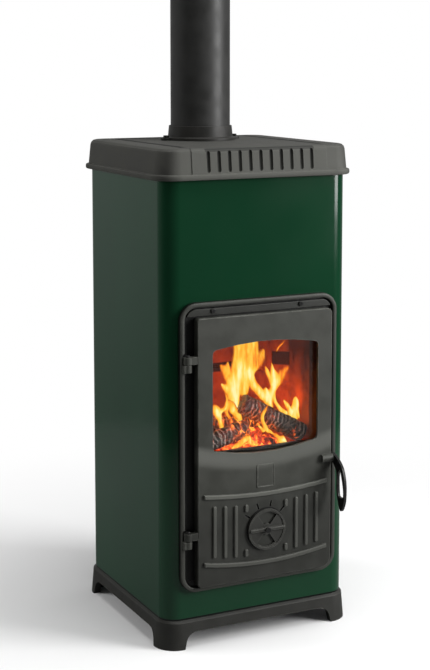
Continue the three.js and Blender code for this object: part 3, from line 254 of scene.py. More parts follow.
    def away(self, spot: Triple) -> Socket:
        """Distance from a spot."""
        inputs = {0: self.place, 1: spot}
        return self.node("ShaderNodeVectorMath", inputs, operation="DISTANCE").outputs["Value"]

    def within(self, value: Socket, low: float, high: float, soft: float = 0.0004) -> Socket:
        """Finds where a value lies in a range: 1 inside, 0 outside, with soft ends."""
        return self.times(self.span(value, low - soft, low), self.span(value, high + soft, high))

    def surface(self, **inputs: object) -> Material:
        """Closes the tree with a principled shader in the colour and the relief so far.

        Args:
            **inputs: The shader's other inputs, with underscores for the spaces in their names.

        Returns:
            The material.
        """
        named = {key.replace("_", " "): value for key, value in inputs.items()}
        named["Base Color"] = self.colour
        if self.relief is not None:
            named["Normal"] = self.relief
        return self.close(self.node("ShaderNodeBsdfPrincipled", named))

    def close(self, shader: bpy.types.Node) -> Material:
        """Ends the tree in a shader and gives the material."""
        self.tree.links.new(shader.outputs[0], self.output.inputs["Surface"])
        return self.made


@dataclass(frozen=True)
class Enamel:
    """Satin glass enamel on steel sheet, with painted shade where it meets the base and the hob."""

    deep: Tone = (15, 51, 32)
    light: Tone = (18, 57, 36)
    foot_seam_shade: Pair = (0.0598, 0.0588)
    head_seam_shade: Pair = (0.9035, 0.9045)

    def material(self) -> Material:
        """Makes the material: slow colour drift, faint flow waves and a fine orange peel."""
        shade = Shade("green enamel")
        shade.ground(shade.span(shade.grain(0.3, 2, (1, 1, 0.45)), 0.3, 0.7), self.deep, self.light)
        shade.coat(shade.span(shade.grain(0.0011, 1), 0.62, 0.8, 0, 0.15), 8, 30, 18)
        # Painted shade: a dark band at the jacket's foot and head, in the gaps where it meets the base and
        # the hob.
        height = shade.axis("Z")
        foot, head = (shade.span(height, *seam) for seam in (self.foot_seam_shade, self.head_seam_shade))
        shade.coat(shade.calc("MAXIMUM", foot, head), 3, 9, 6)
        shade.emboss(shade.grain(0.07), 0.0004, 0.3)
        shade.emboss(shade.grain(0.0024), 0.00002, 0.4)
        rough = shade.span(shade.grain(0.09), 0.3, 0.7, 0.12, 0.16)
        return shade.surface(Roughness=rough, IOR=1.5, Specular_IOR_Level=0.26)


@dataclass(frozen=True)
class Iron:
    """Matt heat-proof paint over sand-cast iron. Castings with marks of their own build on it."""

    name: str = "cast iron"
    tone: Tone = (60, 61, 56)
    worn: Tone = (112, 112, 106)
    grain: float = 0.0008
    depth: float = 0.00012
    rough: float = 0.47
    wear: float = 0.5

    def marks(self, shade: Shade) -> None:
        """Lays a casting's own marks, painted light and shade among them, over its paint. A plain one has
        none.
        """

    def material(self) -> Material:
        """Makes the material: cast grain, mottled paint, paler edges, and the part's own marks with painted
        light and shade.
        """
        shade = Shade(self.name)
        mottle = shade.grain(0.035, 5)
        sand = shade.grain(self.grain, 3)
        pits = shade.grain(self.grain * 4)
        dark, pale = (tuple(int(share * level) for level in self.tone) for share in (0.92, 1.06))
        shade.ground(shade.span(mottle, 0.3, 0.7), dark, pale)
        shade.coat(shade.span(sand, 0.45, 0.75, 0, 0.35), *self.tone)
        patch = shade.span(shade.grain(0.012, 4), 0.35, 0.62, 0.15, self.wear)
        shade.coat(shade.times(shade.edges(0.0022), patch), *self.worn)
        shade.emboss(pits, self.depth * 2, 0.4)
        self.marks(shade)
        shade.emboss(sand, self.depth, 0.7)
        rough = shade.span(mottle, 0.25, 0.75, self.rough - 0.06, self.rough + 0.1)
        return shade.surface(Roughness=rough, Metallic=0.1, Specular_IOR_Level=0.32)


@dataclass(frozen=True)
class FrameIron(Iron):
    """The door frame's iron, with painted shade in the hollow round its bead and a painted highlight on the
    bead.
    """

    name: str = "cast iron frame"
    tone: Tone = (46, 47, 43)
    hollow: Pair = (-0.1745, -0.1712)
    bead: Pair = (-0.1738, -0.1762)

    def marks(self, shade: Shade) -> None:
        """Paints near-black shade in the hollow, and a little painted highlight on the bead.

        Args:
            shade: The material's tree.
        """
        depth = shade.axis("Y")
        # Painted shade in the hollow behind the bead, and a painted highlight on the bead.
        shade.coat(shade.span(depth, *self.hollow), 11, 11, 10)
        shade.coat(shade.span(depth, *self.bead, 0, 0.16), *HIGHLIGHT_PAINT)


@dataclass(frozen=True)
class HobIron(Iron):
    """The hob's iron, with painted shade in its flutes and its groove, and a painted highlight on its front.
    """

    name: str = "cast iron hob"
    tone: Tone = (66, 66, 62)
    rough: float = 0.72
    skirt_foot: float = 0.905
    skirt_lean: float = -0.1
    flute_faces: Pair = (-0.1731, -0.169)
    flute_heights: Pair = (0.916, 0.963)
    flute_reach: Pair = (0.1175, 0.1165)
    groove_sides: Pair = (0.1397, 0.1538)
    groove_back: Pair = (0.1822, 0.1963)
    groove_front: float = -0.1390
    groove_floor: Pair = (0.954, 0.956)
    front: Pair = (-0.160, -0.171)

    def marks(self, shade: Shade) -> None:
        """Paints shade in the flutes and the groove, and a little highlight on the front.

        Args:
            shade: The material's tree.
        """
        depth, height = shade.axis("Y"), shade.axis("Z")
        side = shade.calc("ABSOLUTE", shade.axis("X"))
        rise = shade.calc("SUBTRACT", height, self.skirt_foot)
        face = shade.calc("MULTIPLY_ADD", rise, self.skirt_lean, depth)
        flutes = shade.times(
            shade.within(face, *self.flute_faces, 0.0005), shade.span(side, *self.flute_reach),
            shade.within(height, *self.flute_heights, 0.001),
        )
        outer, back = self.groove_sides[1], self.groove_back[1]
        length = shade.within(depth, self.groove_front, back)
        along = shade.times(shade.within(side, *self.groove_sides), length)
        behind = shade.times(shade.within(depth, *self.groove_back), shade.span(side, outer + 0.0005, outer))
        groove = shade.times(shade.calc("MAXIMUM", along, behind), shade.span(height, *self.groove_floor))
        # Painted shade in the flutes and the groove, then a painted highlight on the front face.
        shade.coat(shade.calc("MAXIMUM", flutes, groove), *SHADE_PAINT)
        shade.coat(shade.span(depth, *self.front, 0, 0.3), *HIGHLIGHT_PAINT)


@dataclass(frozen=True)
class LeafIron(Iron):
    """The door leaf's iron, with painted highlights on its arched step and ribs, painted shade low down, and
    a painted shadow and shaded ticks round the air disc.
    """

    name: str = "cast iron door"
    tone: Tone = (57, 58, 53)
    # Paler edges: rubbed paint, and here also a painted highlight along the window's rim.
    wear: float = 0.85
    arch: float = 0.95
    step: Pair = (0.386, 0.342)
    step_depth: float = 0.0055
    highlight_band: Pair = (0.352, 0.372)
    rib_faces: Pair = (-0.1874, -0.1888)
    rib_head: Pair = (0.334, 0.328)
    foot: Pair = (0.33, 0.24)
    disc_middle: Triple = (0.005, -0.1865, 0.221)
    disc_rim: Pair = (0.0385, 0.0424)
    ticks: Pair = (0.0425, 0.058)
    tick_floor: Pair = (-0.1866, -0.1862)

    def marks(self, shade: Shade) -> None:
        """Raises the step, paints highlights on it and on the ribs, and paints shade low down and round the
        disc.

        Args:
            shade: The material's tree.
        """
        x, y, z = (shade.axis(name) for name in "XYZ")
        height = shade.calc("SUBTRACT", z, shade.times(x, x, self.arch))
        # Painted highlight on the arched step and on the ribs' raised faces.
        shade.coat(shade.times(shade.within(height, *self.highlight_band, 0.016), 0.38), *HIGHLIGHT_PAINT)
        shade.coat(shade.times(shade.span(y, *self.rib_faces, 0, 0.85), shade.span(z, *self.rib_head)), *HIGHLIGHT_PAINT)
        # Painted shade, darker towards the leaf's foot.
        shade.coat(shade.span(z, *self.foot, 0, 0.42), *SHADE_PAINT)
        # Painted shadow in the gap round the air disc, and painted shade in the tick slots.
        far = shade.away(self.disc_middle)
        ticks = shade.times(shade.within(far, *self.ticks, 0.0005), shade.span(y, *self.tick_floor))
        shade.coat(shade.calc("MAXIMUM", shade.within(far, *self.disc_rim, 0.0006), ticks), 9, 9, 9)
        shade.emboss(shade.span(height, *self.step), self.step_depth)


@dataclass(frozen=True)
class Zinc:
    """Dull zinc plating with its faint crystals."""

    def material(self) -> Material:
        """Makes the material: crystal patches, drawn scratches and grey bloom."""
        shade = Shade("zinc plate")
        crystals = shade.node("ShaderNodeTexVoronoi", {"Vector": shade.place, "Scale": 160.0})
        patch = shade.axis("X", crystals.outputs["Color"])
        scratch = shade.grain(0.0009, 2, (1, 12, 1))
        shade.ground(shade.span(patch, 0, 1), (132, 134, 137), (168, 170, 172))
        shade.coat(shade.span(scratch, 0.5, 0.75, 0, 0.4), 104, 104, 104)
        shade.emboss(scratch, 0.00004, 0.4)
        return shade.surface(Roughness=shade.span(patch, 0, 1, 0.34, 0.52), Metallic=0.9)


@dataclass(frozen=True)
class Brick:
    """Rough fired clay, blackened by smoke towards its top, with painted shade towards its front, a dark
    joint and a dark patch.
    """

    sooty_heights: Pair = (0.44, 0.58)
    shaded_depths: Pair = (-0.030, -0.058)
    joint_heights: Pair = (0.463, 0.479)
    joint_face: Pair = (0.146, 0.149)
    patch_heights: Pair = (0.509, 0.533)
    patch_depths: Pair = (-0.0472, 0.022)
    patch_face: Pair = (0.1290, 0.1300)
    patch_tilt: float = 0.164

    def material(self) -> Material:
        """Makes the material: clay mottling, grit, pores, smoke stains and painted shade."""
        shade = Shade("fire brick")
        x, y, z = (shade.axis(name) for name in "XYZ")
        clay, grit = shade.grain(0.03, 5), shade.grain(0.0022, 3)
        shade.ground(shade.span(clay, 0.3, 0.7), (200, 100, 38), (164, 70, 22))
        shade.coat(shade.span(grit, 0.55, 0.75, 0, 0.5), 208, 136, 84)
        high = shade.span(z, *self.sooty_heights, 0, 0.62)
        soot_and_shade = shade.calc("ADD", high, shade.span(clay, 0.5, 0.75, 0, 0.25))
        # Painted shade: darker towards the firebox's front.
        soot_and_shade = shade.calc("ADD", soot_and_shade, shade.span(y, *self.shaded_depths, 0, 0.34))
        shade.coat(shade.calc("MINIMUM", soot_and_shade, 0.92), 50, 23, 14)
        joint = shade.times(shade.within(z, *self.joint_heights, 0.004), shade.span(y, *self.joint_face))
        tilted = shade.calc("MULTIPLY_ADD", shade.calc("ADD", y, 0.0465), self.patch_tilt, z)
        patch = shade.times(
            shade.within(tilted, *self.patch_heights, 0.004), shade.within(y, *self.patch_depths, 0.006),
            shade.span(x, *self.patch_face),
        )
        shade.coat(shade.times(shade.calc("MAXIMUM", joint, patch), 0.9), 20, 8, 8)
        shade.coat(shade.times(shade.edges(0.003), 0.5), 40, 26, 20)
        shade.emboss(clay, 0.0025, 0.6)
        shade.emboss(grit, 0.0007, 0.8)
        return shade.surface(Roughness=0.9, Specular_IOR_Level=0.2)


@dataclass(frozen=True)
class Rope:
    """Braided glass-fibre rope."""

    def material(self) -> Material:
        """Makes the material: crossed strands, fibre fuzz and smoke stains."""
        shade = Shade("rope seal")
        inputs = {"Vector": shade.place, "Scale": 90.0, "Distortion": 1.5}
        strands = shade.node("ShaderNodeTexWave", inputs, bands_direction="DIAGONAL").outputs["Fac"]
        fuzz = shade.grain(0.0006, 3)
        shade.ground(shade.span(fuzz, 0.3, 0.7), (84, 80, 74), (134, 129, 120))
        shade.coat(shade.span(shade.grain(0.03, 3), 0.45, 0.7, 0, 0.6), 48, 42, 36)
        shade.emboss(shade.calc("ADD", strands, shade.times(fuzz, 0.4)), 0.0008, 0.8)
        return shade.surface(Roughness=0.95, Specular_IOR_Level=0.15, Sheen_Weight=0.25)


@dataclass(frozen=True)
class CeramicGlass:
    """Clear ceramic glass with a faint haze of smoke."""

    clear: Quad = (0.97, 0.95, 0.92, 1)
    smoky: Quad = (0.86, 0.8, 0.72, 1)

    def material(self) -> Material:
        """Makes the material: a little darker and rougher where smoke has settled."""
        shade = Shade("ceramic glass")
        haze = shade.grain(0.05, 4)
        shade.colour = shade.blend(shade.span(haze, 0.45, 0.75, 0, 0.3), self.clear, self.smoky)
        rough = shade.span(haze, 0.4, 0.8, 0.0, 0.015)
        return shade.surface(Roughness=rough, IOR=1.3, Transmission_Weight=1.0, Specular_IOR_Level=0.5)


@dataclass(frozen=True)
class Char:
    """Charred wood, split into blocks that glow in their cracks, most of all near the core."""

    glow: float = 2.2
    core: Triple = (-0.004, -0.108, 0.420)
    red: Quad = (0.9, 0.06, 0.004, 1)
    orange: Quad = (1.0, 0.33, 0.04, 1)
    glow_heights: Pair = (0.475, 0.385)

    def material(self) -> Material:
        """Makes the material from the log's own coordinates, redder near the fire's core."""
        shade = Shade("charred wood")
        wrap = shade.node("ShaderNodeUVMap", uv_map="bark").outputs[0]
        bent = shade.node("ShaderNodeMapping", {"Vector": wrap, "Scale": (1.0, 2.2, 1.0)}).outputs[0]
        cracks = shade.cells(40.0, bent, 0.9)
        inputs = {"Vector": wrap, "Scale": 36.0, "Distortion": 5.5, "Detail": 2.0, "Detail Scale": 1.2}
        checks = shade.node("ShaderNodeTexWave", inputs, bands_direction="Y").outputs["Fac"]
        ash, fine = shade.grain(0.009, 4), shade.grain(0.0013, 3)
        near = shade.span(shade.away(self.core), 0.086, 0.022)
        shade.ground(shade.span(ash, 0.4, 0.7, 0, 0.8), (18, 15, 13), (58, 54, 48))
        shade.coat(shade.times(near, 0.8), 98, 26, 14)
        rims = shade.times(shade.within(cracks, 0.06, 0.11, 0.03), shade.span(fine, 0.42, 0.62))
        shade.coat(shade.times(rims, 0.6), 168, 140, 128)
        split = shade.span(shade.grain(0.03), 0.42, 0.58, 0.1)
        pale = shade.times(shade.span(checks, 0.66, 0.9), shade.span(fine, 0.36, 0.6))
        shade.coat(shade.times(pale, shade.times(split, 0.75)), 196, 184, 178)
        shade.coat(shade.times(shade.span(checks, 0.34, 0.12), split, 0.8), 10, 8, 8)
        hot = shade.calc("ADD", shade.times(near, 0.7), shade.span(shade.grain(0.024, 3), 0.5, 0.72, 0, 0.6))
        hot = shade.times(hot, shade.span(shade.grain(0.012), 0.42, 0.62, 0.15))
        low = shade.span(shade.axis("Z"), *self.glow_heights)
        fire = shade.times(shade.span(cracks, 0.085, 0.015), shade.times(hot, low))
        fire = shade.calc("ADD", fire, shade.times(near, shade.span(ash, 0.5, 0.75, 0, 0.22)))
        shade.emboss(shade.span(cracks, 0.0, 0.16), 0.0026)
        shade.emboss(shade.times(checks, split), 0.0014, 0.7)
        shade.emboss(fine, 0.0006, 0.7)
        return shade.surface(
            Roughness=0.55, Specular_IOR_Level=0.5, Emission_Color=shade.blend(fire, self.red, self.orange),
            Emission_Strength=shade.times(fire, self.glow),
        )


@dataclass(frozen=True)
class Coals:
    """Glowing charcoal under a skin of ash, hottest at its heart."""

    glow: float = 2.0
    heart: Triple = (0.012, -0.124, 0.388)
    red: Quad = (0.85, 0.05, 0.008, 1)
    orange: Quad = (1.0, 0.36, 0.04, 1)

    def material(self) -> Material:
        """Makes the material: ash on top, glow in the hollows and between the lumps."""
        shade = Shade("embers")
        skin = shade.grain(0.005, 4)
        shade.ground(shade.span(skin, 0.35, 0.65), (34, 12, 16), (92, 52, 44))
        glow = shade.span(shade.grain(0.028), 0.43, 0.6)
        glow = shade.calc("ADD", glow, shade.span(shade.cells(95.0), 0.08, 0.0, 0, 0.35))
        glow = shade.calc("ADD", glow, shade.span(shade.away(self.heart), 0.05, 0.015, 0, 0.25))
        glow = shade.times(glow, shade.span(skin, 0.8, 0.35, 0.25))
        shade.emboss(skin, 0.0016, 0.9)
        return shade.surface(
            Roughness=0.85, Specular_IOR_Level=0.2, Emission_Strength=shade.times(glow, self.glow),
            Emission_Color=shade.blend(shade.span(glow, 0.45, 1.5), self.red, self.orange),
        )


@dataclass(frozen=True)
class Flame:
    """Light of a wood flame: pale yellow inside, orange at its edges."""

    strength: float = 1.12
    heats: tuple[tuple[float, Triple], ...] = (
        (0.0, (0.6, 0.09, 0.005)), (0.22, (0.92, 0.24, 0.012)), (0.45, (1.0, 0.46, 0.03)),
        (0.68, (1.0, 0.68, 0.1)), (0.95, (1.0, 0.91, 0.42)),
    )

    def material(self) -> Material:
        """Makes the material from the heat that each point of the flames carries."""
        shade = Shade("flame")
        heat = shade.axis("X", shade.node("ShaderNodeUVMap", uv_map="heat").outputs[0])
        ragged = shade.stirred(heat, shade.grain(0.012, 3, (1, 1, 0.4)), 0.55)
        warmth = shade.stirred(shade.times(ragged, 0.82), shade.grain(0.0075, 2, (1, 1, 0.17)), 1.0)
        warmth = shade.stirred(warmth, shade.grain(0.03, 2, (1, 1, 0.6)), 0.7)
        ramp = shade.node("ShaderNodeValToRGB", {0: warmth})
        stops = ramp.color_ramp.elements
        while len(stops) < len(self.heats):
            stops.new(0.5)
        for stop, (at, tint) in zip(stops, self.heats):
            stop.position, stop.color = at, (*tint, 1.0)
        light = shade.node("ShaderNodeEmission", {"Color": ramp.outputs[0], "Strength": self.strength})
        clear = shade.node("ShaderNodeBsdfTransparent").outputs[0]
        cover = shade.span(ragged, 0.0, 0.4)
        return shade.close(shade.node("ShaderNodeMixShader", {0: cover, 1: clear, 2: light.outputs[0]}))


@dataclass(frozen=True)
class PaleFloor:
    """A plain pale floor that fades into the white behind it."""

    near: float = 0.42
    far: float = 1.35
    tone: Quad = (0.87, 0.87, 0.87, 1.0)
    bounced_tone: Quad = (0.3, 0.3, 0.3, 1.0)

    def material(self) -> Material:
        """Makes the material: lit by the lamps close by, plain white further out."""
        shade = Shade("pale floor")
        path = shade.node("ShaderNodeLightPath").outputs
        seen = shade.calc("MAXIMUM", path["Is Camera Ray"], path["Is Transmission Ray"])
        bounced = shade.calc("MAXIMUM", path["Is Diffuse Ray"], path["Is Glossy Ray"])
        tone = shade.blend(bounced, self.tone, self.bounced_tone)
        lit = shade.node("ShaderNodeBsdfDiffuse", {"Color": tone}).outputs[0]
        white = shade.node("ShaderNodeEmission", {"Color": (1, 1, 1, 1), "Strength": 1.0}).outputs[0]
        fade = shade.times(shade.span(shade.away((0, 0, 0)), self.near, self.far), seen)
        return shade.close(shade.node("ShaderNodeMixShader", {0: fade, 1: lit, 2: white}))


# ---- workshop
def placed(name: str, data: bpy.types.ID) -> bpy.types.Object:
    """Puts data into the scene as an object at the origin.

    Args:
        name: Name of the object.
        data: Its mesh, lamp or lens.

    Returns:
        The object.
    """
    thing = bpy.data.objects.new(name, data)
    bpy.context.scene.collection.objects.link(thing)
    return thing


def settled(mesh: Mesh, name: str, material: Material) -> bpy.types.Object:
    """Makes an object of a finished mesh.

    Args:
        mesh: The mesh. It is freed.
        name: Name of the object.
        material: Its material.

    Returns:
        The object.
    """
    data = bpy.data.meshes.new(name)
    mesh.to_mesh(data)
    mesh.free()
    thing = placed(name, data)
    data.materials.append(material)
    return thing


def moved(mesh: Mesh, shift: Vector | Sequence[float], verts: Sequence | None = None) -> None:
    """Shifts a mesh, or only the corners that are given."""
    bmesh.ops.translate(mesh, verts=verts or mesh.verts, vec=shift)


@dataclass
class Workshop:
    """Puts finished meshes into the scene, and makes finer copies of the frame's own nodes."""

    nodes: dict[str, bpy.types.Object]
    setback: float = field(init=False)
    finishes: dict[Slot, Material] = field(init=False)
    weld: float = 2e-6
    flat: float = 0.8
    evening: int = 60

    def __post_init__(self) -> None:
        """Finds how far the body stands behind the frame's origin, and mixes the finishes."""
        low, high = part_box("jacket")
        self.setback = (low.y + high.y) / 2
        finishes = {
            Slot.ENAMEL: Enamel(), Slot.IRON: Iron(), Slot.ZINC: Zinc(), Slot.BRICK: Brick(),
            Slot.ROPE: Rope(), Slot.GLASS: CeramicGlass(), Slot.WOOD: Char(), Slot.EMBERS: Coals(),
            Slot.STEEL: Iron(
                "dark steel", (52, 51, 49), (72, 70, 66), grain=0.0005, depth=0.00004, rough=0.5, wear=0.25,
            ),
            Slot.BLACK: Iron(
                "black cast", (19, 19, 19), (84, 82, 78), grain=0.0005, depth=0.00005, rough=0.34, wear=0.55,
            ),
        }
        self.finishes = {slot: finish.material() for slot, finish in finishes.items()}

    def named(self, *starts: str) -> list[str]:
        """Names of the frame's nodes that start in one of the given ways."""
        return [node for node in self.nodes if node.startswith(starts)]

    def add(
        self, mesh: Mesh, name: str, slot: Slot | None, body: Body, *stands_for: str,
        finish: Material | None = None, aside: bool = True,
    ) -> bpy.types.Object:
        """Makes a smooth piece of a finished mesh.

        Args:
            mesh: The mesh, about the middle of the body. It is freed.
            name: Name of the piece.
            slot: The record's slot that its finish comes from, if any.
            body: The body that it rides on.
            *stands_for: Frame nodes that it replaces.
            finish: Its material, by default its slot's.
            aside: Whether the mesh is still to be set back into the row frame.

        Returns:
            The piece.
        """
        if aside:
            moved(mesh, (0, self.setback, 0))
        for face in mesh.faces:
            face.smooth = True
        piece = settled(mesh, name, finish or self.finishes[slot])
        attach(piece, body.value)
        if stands_for:
            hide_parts(*stands_for)
        LOG.info("%s: %d faces, rides on %s", name, len(piece.data.polygons), body.value)
        return piece

    def refined(
        self, slot: Slot, *nodes: str, body: Body = Body.STOVE, edge: float = 0.0006, steps: int = 2,
        angle: float = 32.0, finish: Material | None = None, shape: Callable[[Mesh], None] | None = None,
    ) -> None:
        """Makes finer copies of frame nodes, with rounded edges.

        Args:
            slot: Their material slot.
            *nodes: The nodes.
            body: The body that they ride on.
            edge: Width of their rounded edges.
            steps: Segments in a rounded edge.
            angle: Edges sharper than this many degrees are rounded.
            finish: Their material, by default their slot's.
            shape: Anything else that is done to their meshes.
        """
        for node in nodes:
            mesh = bmesh.new()
            mesh.from_mesh(self.nodes[node].data)
            bmesh.ops.remove_doubles(mesh, verts=mesh.verts, dist=self.weld)
            bmesh.ops.dissolve_limit(
                mesh, angle_limit=math.radians(self.flat), use_dissolve_boundaries=False,
                verts=mesh.verts, edges=mesh.edges,
            )
            bmesh.ops.connect_verts_concave(mesh, faces=mesh.faces)
            if shape is not None:
                shape(mesh)
            piece = self.add(mesh, f"{node}_finished", slot, body, node, finish=finish, aside=False)
            self.round_edges(piece, edge, steps, angle)

    def round_edges(self, piece: bpy.types.Object, width: float, steps: int, angle: float) -> None:
        """Rounds a piece's sharp edges and evens out its shading.

        Args:
            piece: The piece.
            width: Width of the rounding.
            steps: Its segments.
            angle: Edges sharper than this many degrees are rounded.
        """
        bevel = piece.modifiers.new("rounded edges", "BEVEL")
        bevel.width, bevel.segments = width, steps
        bevel.limit_method, bevel.angle_limit = "ANGLE", math.radians(angle)
        bevel.use_clamp_overlap = True
        bevel.miter_outer = "MITER_ARC"
        even = piece.modifiers.new("even shading", "WEIGHTED_NORMAL")
        even.keep_sharp = False
        even.weight = self.evening


def rounded_plan(width: float, depth: float, radius: float, height: float, steps: int) -> Mesh:
    """Makes a closed upright box with round corners in plan, standing on height 0 about the middle.

    Args:
        width: Its size along X.
        depth: Its size along Y.
        radius: Radius of the corners.
        height: Its height.
        steps: Segments in each corner.

    Returns:
        The mesh.
    """
    mesh = bmesh.new()
    bmesh.ops.create_cube(mesh, size=1.0)
    bmesh.ops.scale(mesh, verts=mesh.verts, vec=(width, depth, height))
    moved(mesh, (0, 0, height / 2))
    upright = [edge for edge in mesh.edges if abs(edge.verts[0].co.z - edge.verts[1].co.z) > height / 2]
    bmesh.ops.bevel(
        mesh, geom=upright, offset=radius, offset_type="OFFSET", affect="EDGES", segments=steps, profile=0.5,
        material=-1,
    )
    return mesh


def sliced(mesh: Mesh, place: Sequence[float], normal: Sequence[float]) -> None:
    """Cuts edges into a mesh where a plane crosses it, and keeps both sides."""
    geometry = mesh.verts[:] + mesh.edges[:] + mesh.faces[:]
    bmesh.ops.bisect_plane(mesh, geom=geometry, dist=1e-6, plane_co=place, plane_no=normal)


def without(mesh: Mesh, inside: Callable[[Vector], bool]) -> None:
    """Deletes the faces whose middle passes a test."""
    gone = [face for face in mesh.faces if inside(face.calc_center_median())]
    bmesh.ops.delete(mesh, geom=gone, context="FACES")


def turned(profile: Sequence[Pair], middle: Sequence[float], steps: int = 96) -> Mesh:
    """Spins a closed profile of radius and height about an upright axis.

    Args:
        profile: The profile's points.
        middle: A point on the axis, at height 0.
        steps: Segments round it.

    Returns:
        The mesh, closed and facing out.
    """
    mesh = bmesh.new()
    points = [mesh.verts.new((radius, 0, height)) for radius, height in profile]
    line = [mesh.edges.new(ends) for ends in zip(points, points[1:] + points[:1])]
    bmesh.ops.spin(
        mesh, geom=points + line, cent=(0, 0, 0), axis=(0, 0, 1), angle=math.tau, steps=steps, use_merge=True,
    )
    bmesh.ops.remove_doubles(mesh, verts=mesh.verts, dist=1e-6)
    bmesh.ops.recalc_face_normals(mesh, faces=mesh.faces)
    moved(mesh, middle)
    return mesh


# ---- casing
@dataclass
class Casing:
    """Base, jacket, back, hob and flue of the stove."""

    shop: Workshop
    width: float = 0.400
    depth: float = 0.388
    corner: float = 0.034
    corner_steps: int = 20
    sheet: float = 0.002
    foot: float = 0.0563
    head: float = 0.9137
    opening_side: float = 0.038
    opening_foot: float = 0.0135
    opening_head: float = 0.033
    flange: float = 0.05
    flue_back: float = 0.0665
    flue_wall: float = 0.002
    flue_roll: float = 0.0007
    groove_sides: Pair = (0.145, 0.150)
    groove_back: Pair = (0.1875, 0.1925)
    groove_front: float = -0.1385
    groove_opens: Pair = (-0.0055, 0.0040)

    def build(self) -> None:
        """Builds every piece of the casing."""
        self.jacket()
        self.flue()
        shop = self.shop
        base = Iron("cast iron base", (42, 42, 39)).material()
        collar = Iron("cast iron collar", (38, 37, 35), (70, 68, 64)).material()
        hob = HobIron().material()
        shop.refined(Slot.IRON, "base_frame", edge=0.0014, steps=3, finish=base)
        shop.refined(
            Slot.IRON, "hob_top", edge=0.0008, steps=3, angle=24, finish=hob, shape=self.open_groove,
        )
        shop.refined(Slot.ZINC, "floor_panel", edge=0.0004)
        shop.refined(Slot.STEEL, "rear_panel", edge=0.0003, steps=1)
        shop.refined(Slot.IRON, "flue_collar", edge=0.0008, finish=collar)
        shop.refined(Slot.BLACK, *shop.named("collar_bolt"), edge=0.0004)
        shop.refined(Slot.ZINC, *shop.named("rear_screw"), edge=0.0003)

    def open_groove(self, mesh: Mesh) -> None:
        """Opens the groove round the hob's middle to its full width, from its inner and outer edge.

        Args:
            mesh: The hob's mesh, in the row frame.
        """
        top = max(vert.co.z for vert in mesh.verts)
        near = 0.1 * MM
        for vert in mesh.verts:
            x, y, z = vert.co
            if z < top - 3 * MM or y < self.groove_front - near:
                continue
            for side, back, shift in zip(self.groove_sides, self.groove_back, self.groove_opens):
                if abs(abs(x) - side) < near:
                    vert.co.x += math.copysign(shift, x)
                if abs(y - back) < near:
                    vert.co.y += shift

    def jacket(self) -> None:
        """Wraps one enamelled sheet round the front and both sides, open behind and at the door."""
        tall = self.head - self.foot
        mesh = rounded_plan(self.width, self.depth, self.corner, tall, self.corner_steps)
        moved(mesh, (0, 0, self.foot))
        without(mesh, lambda spot: spot.z < self.foot + MM or spot.z > self.head - MM)
        low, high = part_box("door_frame")
        left, right = low.x + self.opening_side, high.x - self.opening_side
        bottom, top = low.z + self.opening_foot, high.z - self.opening_head
        back, flange = self.depth / 2, self.width / 2 - self.flange
        for across in (left, right, -flange, flange):
            sliced(mesh, (across, 0, 0), (1, 0, 0))
        for level in (bottom, top):
            sliced(mesh, (0, 0, level), (0, 0, 1))
        without(mesh, lambda spot: spot.y > back - MM and abs(spot.x) < flange)
        without(mesh, lambda spot: spot.y < MM - back and left < spot.x < right and bottom < spot.z < top)
        bmesh.ops.recalc_face_normals(mesh, faces=mesh.faces)
        if sum(face.normal.y for face in mesh.faces if face.calc_center_median().y < MM - back) > 0:
            bmesh.ops.reverse_faces(mesh, faces=mesh.faces)
        piece = self.shop.add(mesh, "jacket_wrap", Slot.ENAMEL, Body.STOVE, "jacket")
        wall = piece.modifiers.new("sheet", "SOLIDIFY")
        wall.thickness, wall.offset = self.sheet, -1.0
        self.shop.round_edges(piece, width=0.0004, steps=2, angle=50)

    def flue(self) -> None:
        """Turns the flue pipe, with its rolled rims."""
        low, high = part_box("flue_pipe")
        outer = (high.x - low.x) / 2
        bore, roll = outer - self.flue_wall, self.flue_roll
        profile = [
            (outer - roll, low.z), (outer, low.z + roll), (outer, high.z - roll), (outer - roll, high.z),
            (bore + roll, high.z), (bore, high.z - roll), (bore, low.z + roll), (bore + roll, low.z),
        ]
        mesh = turned(profile, (0, self.flue_back, 0))
        black = Iron("flue steel", (44, 44, 43), (72, 70, 66), grain=0.0005, depth=0.00004, wear=0.25)
        piece = self.shop.add(
            mesh, "flue_pipe_turned", Slot.STEEL, Body.STOVE, "flue_pipe", finish=black.material(),
        )
        self.shop.round_edges(piece, width=0.0002, steps=1, angle=40)


# ---- firebox
@dataclass
class Firebox:
    """Shell, lining, grate and ash pan."""

    shop: Workshop
    brick_edge: float = 0.002
    baffle_edge: float = 0.0015
    guard_edge: float = 0.001
    pan_edge: float = 0.0005

    def build(self) -> None:
        """Builds every piece of the firebox."""
        shop = self.shop
        scorched = Iron("scorched iron", (24, 22, 20), (52, 46, 42)).material()
        shop.refined(Slot.STEEL, "firebox_shell", steps=1)
        shop.refined(Slot.IRON, "hearth_plate")
        shop.refined(Slot.IRON, "grate", steps=1)
        shop.refined(Slot.BRICK, "baffle_plate", edge=self.baffle_edge)
        shop.refined(Slot.IRON, "log_guard", edge=self.guard_edge, finish=scorched)
        shop.refined(Slot.ZINC, "ash_pan", body=Body.PAN, edge=self.pan_edge)
        shop.refined(Slot.BRICK, *shop.named("brick_"), edge=self.brick_edge)


